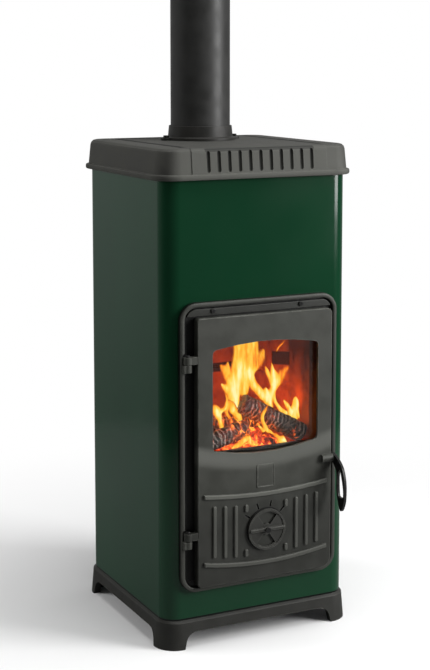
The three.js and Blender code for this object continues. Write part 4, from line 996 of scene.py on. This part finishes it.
# ---- door
@dataclass
class Door:
    """Door frame, leaf, window, air disc and lever."""

    shop: Workshop
    badge_middle: Pair = (0.0037, 0.3275)
    badge_size: Pair = (0.038, 0.046)
    badge_corner: float = 0.003
    badge_height: float = 0.0012
    leaf_face: float = 0.2159

    def build(self) -> None:
        """Builds every piece of the door and its frame."""
        shop = self.shop
        leaf = LeafIron().material()
        disc = Iron("cast iron disc", (46, 46, 43)).material()
        shop.refined(Slot.IRON, "door_frame", edge=0.0007, finish=FrameIron().material())
        shop.refined(Slot.IRON, "door_leaf", body=Body.DOOR, edge=0.0012, steps=3, angle=30, finish=leaf)
        shop.refined(Slot.BLACK, "latch_keeper", edge=0.0004)
        shop.refined(Slot.BLACK, *shop.named("frame_screw"), edge=0.0003)
        shop.refined(Slot.BLACK, *shop.named("hinge_pin"), edge=0.0008, steps=3)
        clamps = shop.named("glass_clip", "clip_screw", "air_nut")
        shop.refined(Slot.ZINC, *clamps, body=Body.DOOR, edge=0.0003)
        shop.refined(Slot.ROPE, "door_seal", body=Body.DOOR, edge=0.0008)
        shop.refined(Slot.ROPE, "glass_gasket", body=Body.DOOR, edge=0.0004)
        shop.refined(Slot.GLASS, "door_glass", body=Body.DOOR, edge=0.0003, steps=1)
        shop.refined(Slot.BLACK, "lever_pin", body=Body.DOOR, edge=0.0008, steps=3)
        shop.refined(Slot.BLACK, "air_screw", body=Body.DOOR)
        shop.refined(Slot.IRON, "air_disc", body=Body.AIR, finish=disc)
        shop.refined(Slot.BLACK, "handle_lever", body=Body.LEVER, edge=0.0018, steps=4)
        self.badge(leaf)

    def badge(self, finish: Material) -> None:
        """Raises a plain blank badge with a thin rim over the air disc.

        Args:
            finish: The door leaf's material.
        """
        mesh = rounded_plan(*self.badge_size, self.badge_corner, self.badge_height, 6)
        top = [face for face in mesh.faces if face.normal.z > 0.9]
        bmesh.ops.inset_region(mesh, faces=top, thickness=0.0016, depth=0.0)
        bmesh.ops.inset_region(mesh, faces=top, thickness=0.0005, depth=-0.0007)
        bmesh.ops.rotate(mesh, verts=mesh.verts, cent=(0, 0, 0), matrix=Matrix.Rotation(math.pi / 2, 3, "X"))
        x, z = self.badge_middle
        moved(mesh, (x, -self.leaf_face, z))
        piece = self.shop.add(mesh, "door_badge", Slot.IRON, Body.DOOR, finish=finish)
        self.shop.round_edges(piece, 0.0003, 2, 25)


# ---- fire
@dataclass(frozen=True)
class Log:
    """One log: where it runs, how thick it is and how its surface is broken."""

    name: str
    start: Triple
    end: Triple
    radius: float
    seed: int


@dataclass(frozen=True)
class Sheet:
    """One sheet of flame: where it stands along Y, and the tongues that run together in it.

    A tongue is points of X, Z and half width in millimetres, and heat in percent.
    """

    depth: float
    tongues: tuple[tuple[Point, ...], ...]


SHEETS = (
    Sheet(-0.171, (
        ((29, 454, 1, 60), (24, 443, 4, 70), (19, 431, 4, 80), (20, 418, 5, 85), (28, 406, 5, 85),
         (41, 398, 3, 80), (50, 392, 1, 60)),
        ((18, 407, 5, 80), (11, 414, 2, 80), (8, 419, 1, 60)),
        ((50, 391, 4, 70), (58, 385, 6, 85), (68, 378, 6, 85), (78, 371, 1, 70)),
        ((-46, 379, 3, 60), (-35, 383, 6, 70), (-23, 388, 8, 75), (-11, 394, 6, 80), (-7, 384, 4, 80),
         (-4, 376, 1, 60)),
    )),
    Sheet(-0.140, (
        ((-71, 401, 4, 60), (-58, 403, 3, 50), (-48, 408, 2, 50)),
    )),
    Sheet(-0.128, (
        ((-48, 409, 8, 75), (-52, 421, 6, 85), (-56, 434, 9, 110), (-60, 444, 11, 110), (-64, 452, 4, 90)),
        ((-53, 440, 7, 90), (-43, 447, 5, 85), (-40, 458, 4, 80), (-41, 469, 3, 75), (-46, 481, 1, 60)),
        ((-6, 417, 4, 60), (-15, 431, 9, 75), (-25, 445, 11, 80), (-34, 454, 9, 60), (-39, 440, 5, 50),
         (-32, 426, 4, 40)),
        ((116, 409, 9, 70), (112, 422, 12, 100), (116, 435, 9, 110), (118, 445, 6, 100), (118, 453, 1, 80)),
        ((107, 425, 7, 90), (99, 435, 5, 80), (93, 444, 4, 70), (89, 450, 1, 60)),
        ((118, 427, 6, 80), (123, 416, 3, 70), (126, 408, 1, 50)),
    )),
    Sheet(-0.116, (
        ((-5, 414, 5, 70), (-9, 427, 10, 90), (-15, 443, 13, 105), (-17, 461, 15, 110), (-16, 479, 18, 115),
         (-12, 496, 22, 110), (-7, 514, 21, 95), (-4, 533, 19, 85), (-1, 550, 19, 68), (1, 568, 20, 56),
         (1, 590, 18, 50)),
        ((63, 445, 8, 80), (54, 457, 9, 85), (41, 470, 10, 85), (30, 484, 10, 90), (24, 501, 10, 100),
         (21, 517, 11, 100), (21, 535, 13, 95), (24, 552, 15, 72), (26, 570, 14, 58), (24, 590, 13, 50)),
        ((7, 473, 12, 60), (9, 495, 16, 80), (9, 518, 16, 70), (10, 540, 14, 60), (12, 568, 14, 50)),
        ((26, 512, 9, 60), (36, 524, 13, 46), (42, 537, 13, 40), (51, 551, 5, 36)),
        ((-21, 499, 12, 70), (-32, 513, 12, 55), (-38, 524, 9, 50), (-45, 532, 2, 50)),
        ((-27, 514, 9, 80), (-31, 526, 6, 70), (-32, 538, 1, 60)),
        ((-23, 472, 11, 80), (-34, 484, 7, 80), (-41, 491, 4, 80), (-46, 495, 1, 70)),
        ((61, 452, 9, 80), (58, 462, 10, 85), (56, 469, 6, 85), (55, 477, 1, 80)),
        ((68, 436, 7, 80), (66, 449, 9, 95), (71, 465, 11, 105), (75, 481, 12, 100), (74, 497, 11, 95),
         (71, 512, 6, 85), (68, 526, 1, 70)),
        ((69, 481, 6, 70), (62, 498, 5, 70), (58, 510, 4, 68), (53, 520, 1, 60)),
        ((78, 480, 9, 65), (86, 490, 14, 46), (94, 500, 13, 42), (103, 511, 6, 40)),
        ((77, 478, 5, 80), (76, 458, 6, 85), (79, 443, 5, 85), (89, 429, 5, 90), (100, 420, 5, 90),
         (109, 417, 6, 90)),
    )),
    Sheet(-0.100, (
        ((88, 542, 1, 30), (93, 550, 3, 40), (99, 558, 3, 40), (107, 565, 1, 30)),
    )),
)


@dataclass
class Fire:
    """Logs, embers, flames and their light."""

    shop: Workshop
    heap_middle: Pair = (0.0, -0.1037)
    heap_half: Pair = (0.1115, 0.0590)
    heap_low: float = 0.3308
    heap_high: float = 0.3925
    heap_fill: float = 0.72
    heap_roundness: float = 0.6
    lumps: int = 60
    heart: tuple[Quad, ...] = (
        (0.015, -0.157, 0.3835, 0.0125), (0.005, -0.150, 0.3975, 0.0105), (0.024, -0.146, 0.3945, 0.0095),
    )
    log_sides: int = 40
    log_taper: float = 0.96
    ring_step: float = 0.0028
    cap_rings: int = 3
    blocks_across: float = 95
    blocks_along: float = 60
    block_relief: float = 0.075
    lump_relief: float = 0.055
    end_relief: float = 0.0022
    mesh_step: float = 1.6
    tongue_steps: int = 36
    narrowest: float = 0.6
    margin: float = 6.0
    merging: float = 6.0
    coldest: float = -0.42
    wave_depth: float = 5
    heat_bulge: float = 7
    seed: int = 11
    logs: tuple[Log, ...] = (
        Log("log_left", (-0.108, -0.1497, 0.3825), (-0.003, -0.1477, 0.4075), 0.0195, 3),
        Log("log_right", (-0.008, -0.1317, 0.4545), (0.121, -0.1527, 0.3825), 0.0215, 8),
        Log("log_rear", (-0.095, -0.0977, 0.4025), (0.047, -0.1017, 0.4105), 0.0195, 5),
    )
    lights: tuple[Quad, ...] = (
        (-0.05, -0.07, 0.47, 0.8), (0.03, -0.1, 0.44, 0.2), (0.02, -0.165, 0.4, 0.12),
        (0.112, -0.128, 0.452, 0.05),
    )
    light_tint: Triple = (1.0, 0.33, 0.04)
    light_size: float = 0.02

    def build(self) -> None:
        """Builds the fuel and its flames."""
        for log in self.logs:
            self.log(log)
        self.embers()
        self.flames()
        self.light()

    def log(self, log: Log) -> None:
        """Makes one charred log, split into blocks, with its own coordinates round it and along it.

        Args:
            log: The log.
        """
        start, end = Vector(log.start), Vector(log.end)
        length = (end - start).length
        mesh = bmesh.new()
        bmesh.ops.create_cone(
            mesh, cap_ends=True, segments=self.log_sides, radius1=log.radius,
            radius2=log.radius * self.log_taper, depth=length,
        )
        rings = int(length / self.ring_step)
        for step in range(1, rings):
            sliced(mesh, (0, 0, length * (step / rings - 0.5)), (0, 0, 1))
        caps = [face for face in mesh.faces if abs(face.normal.z) > 0.9]
        for _ in range(self.cap_rings):
            bmesh.ops.inset_individual(mesh, faces=caps, thickness=log.radius * 0.26)
        self.wrap(mesh, log)
        away = Vector((log.seed, 2.0 * log.seed, 0))
        across, along = self.blocks_across, self.blocks_along
        for vert in mesh.verts:
            spot = vert.co.copy()
            cell = noise.voronoi(Vector((spot.x * across, spot.y * across, spot.z * along)) + away)[0]
            split = min(1.0, max(0.0, (cell[1] - cell[0]) * 2.6))
            lump = noise.fractal(spot * 34 + away, 1.0, 2.0, 4)
            scale = 0.90 + self.block_relief * split + self.lump_relief * lump
            taper = 1 - 0.05 * (2 * abs(spot.z) / length) ** 6
            vert.co.x, vert.co.y = spot.x * scale * taper, spot.y * scale * taper
            if abs(abs(spot.z) - length / 2) < 1e-5:
                rough = noise.noise(spot * 260 + away)
                vert.co.z += self.end_relief * rough - math.copysign(self.end_relief, spot.z)
        facing = (end - start).to_track_quat("Z", "Y").to_matrix()
        bmesh.ops.rotate(mesh, verts=mesh.verts, cent=(0, 0, 0), matrix=facing)
        moved(mesh, (start + end) / 2)
        self.shop.add(mesh, f"{log.name}_charred", Slot.WOOD, Body.STOVE, log.name)

    @staticmethod
    def wrap(mesh: Mesh, log: Log) -> None:
        """Gives a log its coordinates: metres round it and metres along it.

        Args:
            mesh: The log's mesh, upright about the origin.
            log: The log.
        """
        layer = mesh.loops.layers.uv.new("bark")
        around = math.tau * log.radius
        for face in mesh.faces:
            middle = face.calc_center_median()
            near = math.atan2(middle.y, middle.x)
            for loop in face.loops:
                spot = loop.vert.co
                turn = math.atan2(spot.y, spot.x)
                turn += math.tau * round((near - turn) / math.tau)
                loop[layer].uv = (turn / math.tau * around + log.seed, spot.z)

    def embers(self) -> None:
        """Heaps up the embers: a lumpy bed with broken charcoal on it."""
        chance = random.Random(self.seed)
        mesh = bmesh.new()
        bmesh.ops.create_icosphere(mesh, subdivisions=6, radius=1.0)
        bmesh.ops.delete(mesh, geom=[vert for vert in mesh.verts if vert.co.z < -0.05], context="VERTS")
        wide, deep = self.heap_half
        tall = self.heap_high - self.heap_low
        for vert in mesh.verts:
            x, y, z = vert.co
            spot = Vector((x * wide, y * deep, 0))
            nearest, next_nearest = noise.voronoi(spot * 85)[0][:2]
            crown = max(0.0, z) ** self.heap_roundness * (self.heap_fill + 0.35 * noise.noise(spot * 30))
            bulge = crown - 0.16 * max(0.0, 0.5 - next_nearest + nearest)
            vert.co = (spot.x, spot.y, self.heap_low + tall * max(0.0, bulge))
        bmesh.ops.holes_fill(mesh, edges=[edge for edge in mesh.edges if edge.is_boundary], sides=0)
        moved(mesh, (*self.heap_middle, 0))
        for _ in range(self.lumps):
            self.charcoal(mesh, chance)
        for x, y, z, radius in self.heart:
            lump = bmesh.ops.create_icosphere(mesh, subdivisions=4, radius=radius)["verts"]
            for vert in lump:
                vert.co *= 1 + 0.26 * noise.noise(vert.co * 110 + Vector((1000 * z, 0, 0)))
            moved(mesh, (x, y, z), lump)
        bmesh.ops.recalc_face_normals(mesh, faces=mesh.faces)
        self.shop.add(mesh, "embers", Slot.EMBERS, Body.STOVE, "ember_bed")

    def charcoal(self, mesh: Mesh, chance: random.Random) -> None:
        """Lays one broken piece of charcoal on the heap.

        Args:
            mesh: The heap's mesh.
            chance: The fire's own run of random numbers.
        """
        turn, far = chance.uniform(0, math.tau), math.sqrt(chance.uniform(0, 0.72))
        size = chance.uniform(0.0065, 0.0125)
        verts = bmesh.ops.create_icosphere(mesh, subdivisions=3, radius=size)["verts"]
        shift = Vector((chance.uniform(0, 50), chance.uniform(0, 50), 0))
        long = Matrix.Diagonal((chance.uniform(0.8, 1.7), chance.uniform(0.6, 1.0), chance.uniform(0.5, 0.8)))
        heading = Matrix.Rotation(chance.uniform(0, math.tau), 3, "Z")
        tilt = heading @ Matrix.Rotation(chance.uniform(-0.5, 0.5), 3, "X")
        for vert in verts:
            blocky = size / max(abs(vert.co.x), abs(vert.co.y), abs(vert.co.z))
            rough = 1 + 0.24 * noise.noise(vert.co * 150 + shift)
            vert.co = tilt @ long @ (vert.co * (0.35 + 0.55 * blocky) * rough)
        x = self.heap_middle[0] + far * (self.heap_half[0] - 0.012) * math.cos(turn)
        y = self.heap_middle[1] + far * (self.heap_half[1] - 0.009) * math.sin(turn)
        crown = math.sqrt(max(0.0, 1 - far * far)) ** self.heap_roundness
        rise = (self.heap_high - self.heap_low) * self.heap_fill * crown
        moved(mesh, (x, y, self.heap_low + rise + size * 0.1), verts)

    def flames(self) -> None:
        """Makes the flames: a waving sheet for each depth, where its tongues run together."""
        mesh = bmesh.new()
        layer = mesh.loops.layers.uv.new("heat")
        for sheet in SHEETS:
            self.sheet(mesh, layer, sheet)
        self.shop.add(mesh, "flames", None, Body.STOVE, finish=Flame().material())

    def sheet(self, mesh: Mesh, layer: object, sheet: Sheet) -> None:
        """Adds one sheet of flame to the mesh, trimmed to where it is hot.

        Args:
            mesh: The flames' mesh.
            layer: Its coordinates, which carry the heat.
            sheet: The sheet.
        """
        depth = sheet.depth
        spots = numpy.array([spot for tongue in sheet.tongues for spot in tongue])
        low = (spots[:, :2] - spots[:, 2:3]).min(axis=0) - self.margin
        size = (spots[:, :2] + spots[:, 2:3]).max(axis=0) + self.margin - low
        columns, rows = (int(length / self.mesh_step) for length in size)
        made = bmesh.ops.create_grid(mesh, x_segments=columns, y_segments=rows, size=1.0)["verts"]
        places = (numpy.array([vert.co[:2] for vert in made]) + 1) / 2 * size + low
        bent = numpy.array([
            (x + 3.4 * noise.noise(Vector((x / 15, depth * 90, z / 30))),
             z + 3 * noise.noise(Vector((x / 9, z / 26, depth * 70))))
            for x, z in places
        ])
        total = numpy.full(len(made), 1e-6)
        for tongue in sheet.tongues:
            best = numpy.full(len(made), -3.0)
            for step in range(self.tongue_steps + 1):
                x, z, wide, hot = self.along(tongue, step / self.tongue_steps)
                far = ((bent[:, 0] - x) ** 2 + (bent[:, 1] - z) ** 2) / max(wide, self.narrowest) ** 2
                best = numpy.maximum(best, hot / 100 * (1 - far))
            total += numpy.exp(self.merging * best)
        heat = dict(zip(made, numpy.log(total) / self.merging))
        for vert, (x, z) in zip(made, places):
            wave = self.wave_depth * noise.noise(Vector((x / 26, z / 34, depth * 50)))
            bulge = self.heat_bulge * max(0.0, float(heat[vert]))
            vert.co = (x * MM, depth + (wave - bulge) * MM, z * MM)
        for face in {face for vert in made for face in vert.link_faces}:
            for loop in face.loops:
                loop[layer].uv = (float(heat[loop.vert]), 0.5)
        cold = [vert for vert in made if heat[vert] < self.coldest]
        bmesh.ops.delete(mesh, geom=cold, context="VERTS")

    @staticmethod
    def along(tongue: Sequence[Point], share: float) -> numpy.ndarray:
        """Finds a point on a smooth curve through a tongue's points.

        Args:
            tongue: The points.
            share: How far up, from 0 to 1.

        Returns:
            The point there.
        """
        last = len(tongue) - 1
        place = min(share, 0.99999) * last
        at = int(place)
        t = place - at
        a, b, c, d = (numpy.array(tongue[min(max(at + step, 0), last)]) for step in (-1, 0, 1, 2))
        bend = (2 * a - 5 * b + 4 * c - d) * t ** 2 + (3 * b - a - 3 * c + d) * t ** 3
        return 0.5 * (2 * b + (c - a) * t + bend)

    def light(self) -> None:
        """Lights the lining from inside the flames."""
        for x, y, z, power in self.lights:
            lamp = bpy.data.lights.new("fire light", "POINT")
            lamp.energy, lamp.shadow_soft_size = power, self.light_size
            lamp.color = self.light_tint
            holder = placed("fire light", lamp)
            holder.location = (x, y + self.shop.setback, z)
            holder.visible_camera = holder.visible_glossy = holder.visible_transmission = False


# ---- studio
@dataclass
class Studio:
    """Camera, floor, lamps and the white behind."""

    setback: float
    lens: float = 79.376
    sensor: float = 36.0
    eye: Triple = (-1.3190, -2.6769, 1.1353)
    heading: float = 26.267
    dip: float = 6.627
    shift: Pair = (-0.00069, -0.16)
    floor_radius: float = 1.7

    def build(self) -> None:
        """Sets up the whole studio."""
        self.camera()
        self.floor()
        self.surroundings()
        self.lamp("key", (2.2, -2.05, 1.45), (0, 0, 0.75), (1.3, 1.9), 122.0)
        self.lamp("top", (0.3, -0.6, 3.2), (0, 0, 0.5), (2.2, 2.0), 66.0)
        self.lamp("left fill", (-2.5, 1.3, 1.3), (0, 0, 0.6), (1.4, 1.7), 44.0, mirrored=False)
        bpy.context.scene.view_settings.view_transform = "Standard"

    def camera(self) -> None:
        """Puts the camera to the left of the stove, a little above its middle."""
        lens = bpy.data.cameras.new("camera")
        lens.lens, lens.sensor_width = self.lens, self.sensor
        lens.shift_x, lens.shift_y = self.shift
        holder = placed("camera", lens)
        holder.location = Vector(self.eye) + Vector((0, self.setback, 0))
        holder.rotation_euler = (math.radians(90 - self.dip), 0, math.radians(-self.heading))
        bpy.context.scene.camera = holder

    def floor(self) -> None:
        """Lays a wide round floor."""
        mesh = bmesh.new()
        bmesh.ops.create_circle(mesh, cap_ends=True, segments=96, radius=self.floor_radius)
        plane = settled(mesh, "floor", PaleFloor().material())

    def surroundings(self) -> None:
        """Makes the air white to the camera, and a soft grey room to everything else."""
        air = Shade("studio", world=True)
        path = air.node("ShaderNodeLightPath").outputs
        facing = air.node("ShaderNodeTexCoord").outputs["Generated"]
        wall = air.span(air.axis("Y", facing), -0.15, 0.8, 0.03, 0.42, "LINEAR")
        ground = air.span(air.axis("Z", facing), -0.36, -0.06, 0.15, 1.0, "LINEAR")
        room = air.node("ShaderNodeMix", {0: path["Is Glossy Ray"], 2: 0.16, 3: air.times(wall, ground)})
        seen = air.calc("MAXIMUM", path["Is Camera Ray"], path["Is Transmission Ray"])
        light = air.node("ShaderNodeMix", {0: seen, 2: room.outputs[0], 3: 1.0}).outputs[0]
        air.close(air.node("ShaderNodeBackground", {"Color": (1, 1, 1, 1), "Strength": light}))
        bpy.context.scene.world = air.made

    def lamp(
        self, name: str, place: Triple, target: Triple, size: Pair, power: float, mirrored: bool = True,
    ) -> None:
        """Hangs a soft box.

        Args:
            name: Its name.
            place: Where it hangs.
            target: What it points at.
            size: Its width and height.
            power: Its power in watts.
            mirrored: Whether shiny surfaces show it.
        """
        lamp = bpy.data.lights.new(name, "AREA")
        lamp.shape, lamp.energy = "RECTANGLE", power
        lamp.size, lamp.size_y = size
        holder = placed(name, lamp)
        holder.location = place
        holder.rotation_euler = (Vector(target) - Vector(place)).to_track_quat("-Z", "Y").to_euler()
        holder.visible_glossy = mirrored


def main() -> None:
    """Loads the frame, dresses it and sets up the studio."""
    logging.basicConfig(level=logging.INFO, format="%(name)s: %(message)s")
    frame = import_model()
    shop = Workshop(frame["nodes"])
    for part in (Casing(shop), Firebox(shop), Door(shop), Fire(shop)):
        part.build()
        LOG.info("%s done", type(part).__name__.lower())
    Studio(shop.setback).build()


if __name__ == "__main__":
    main()
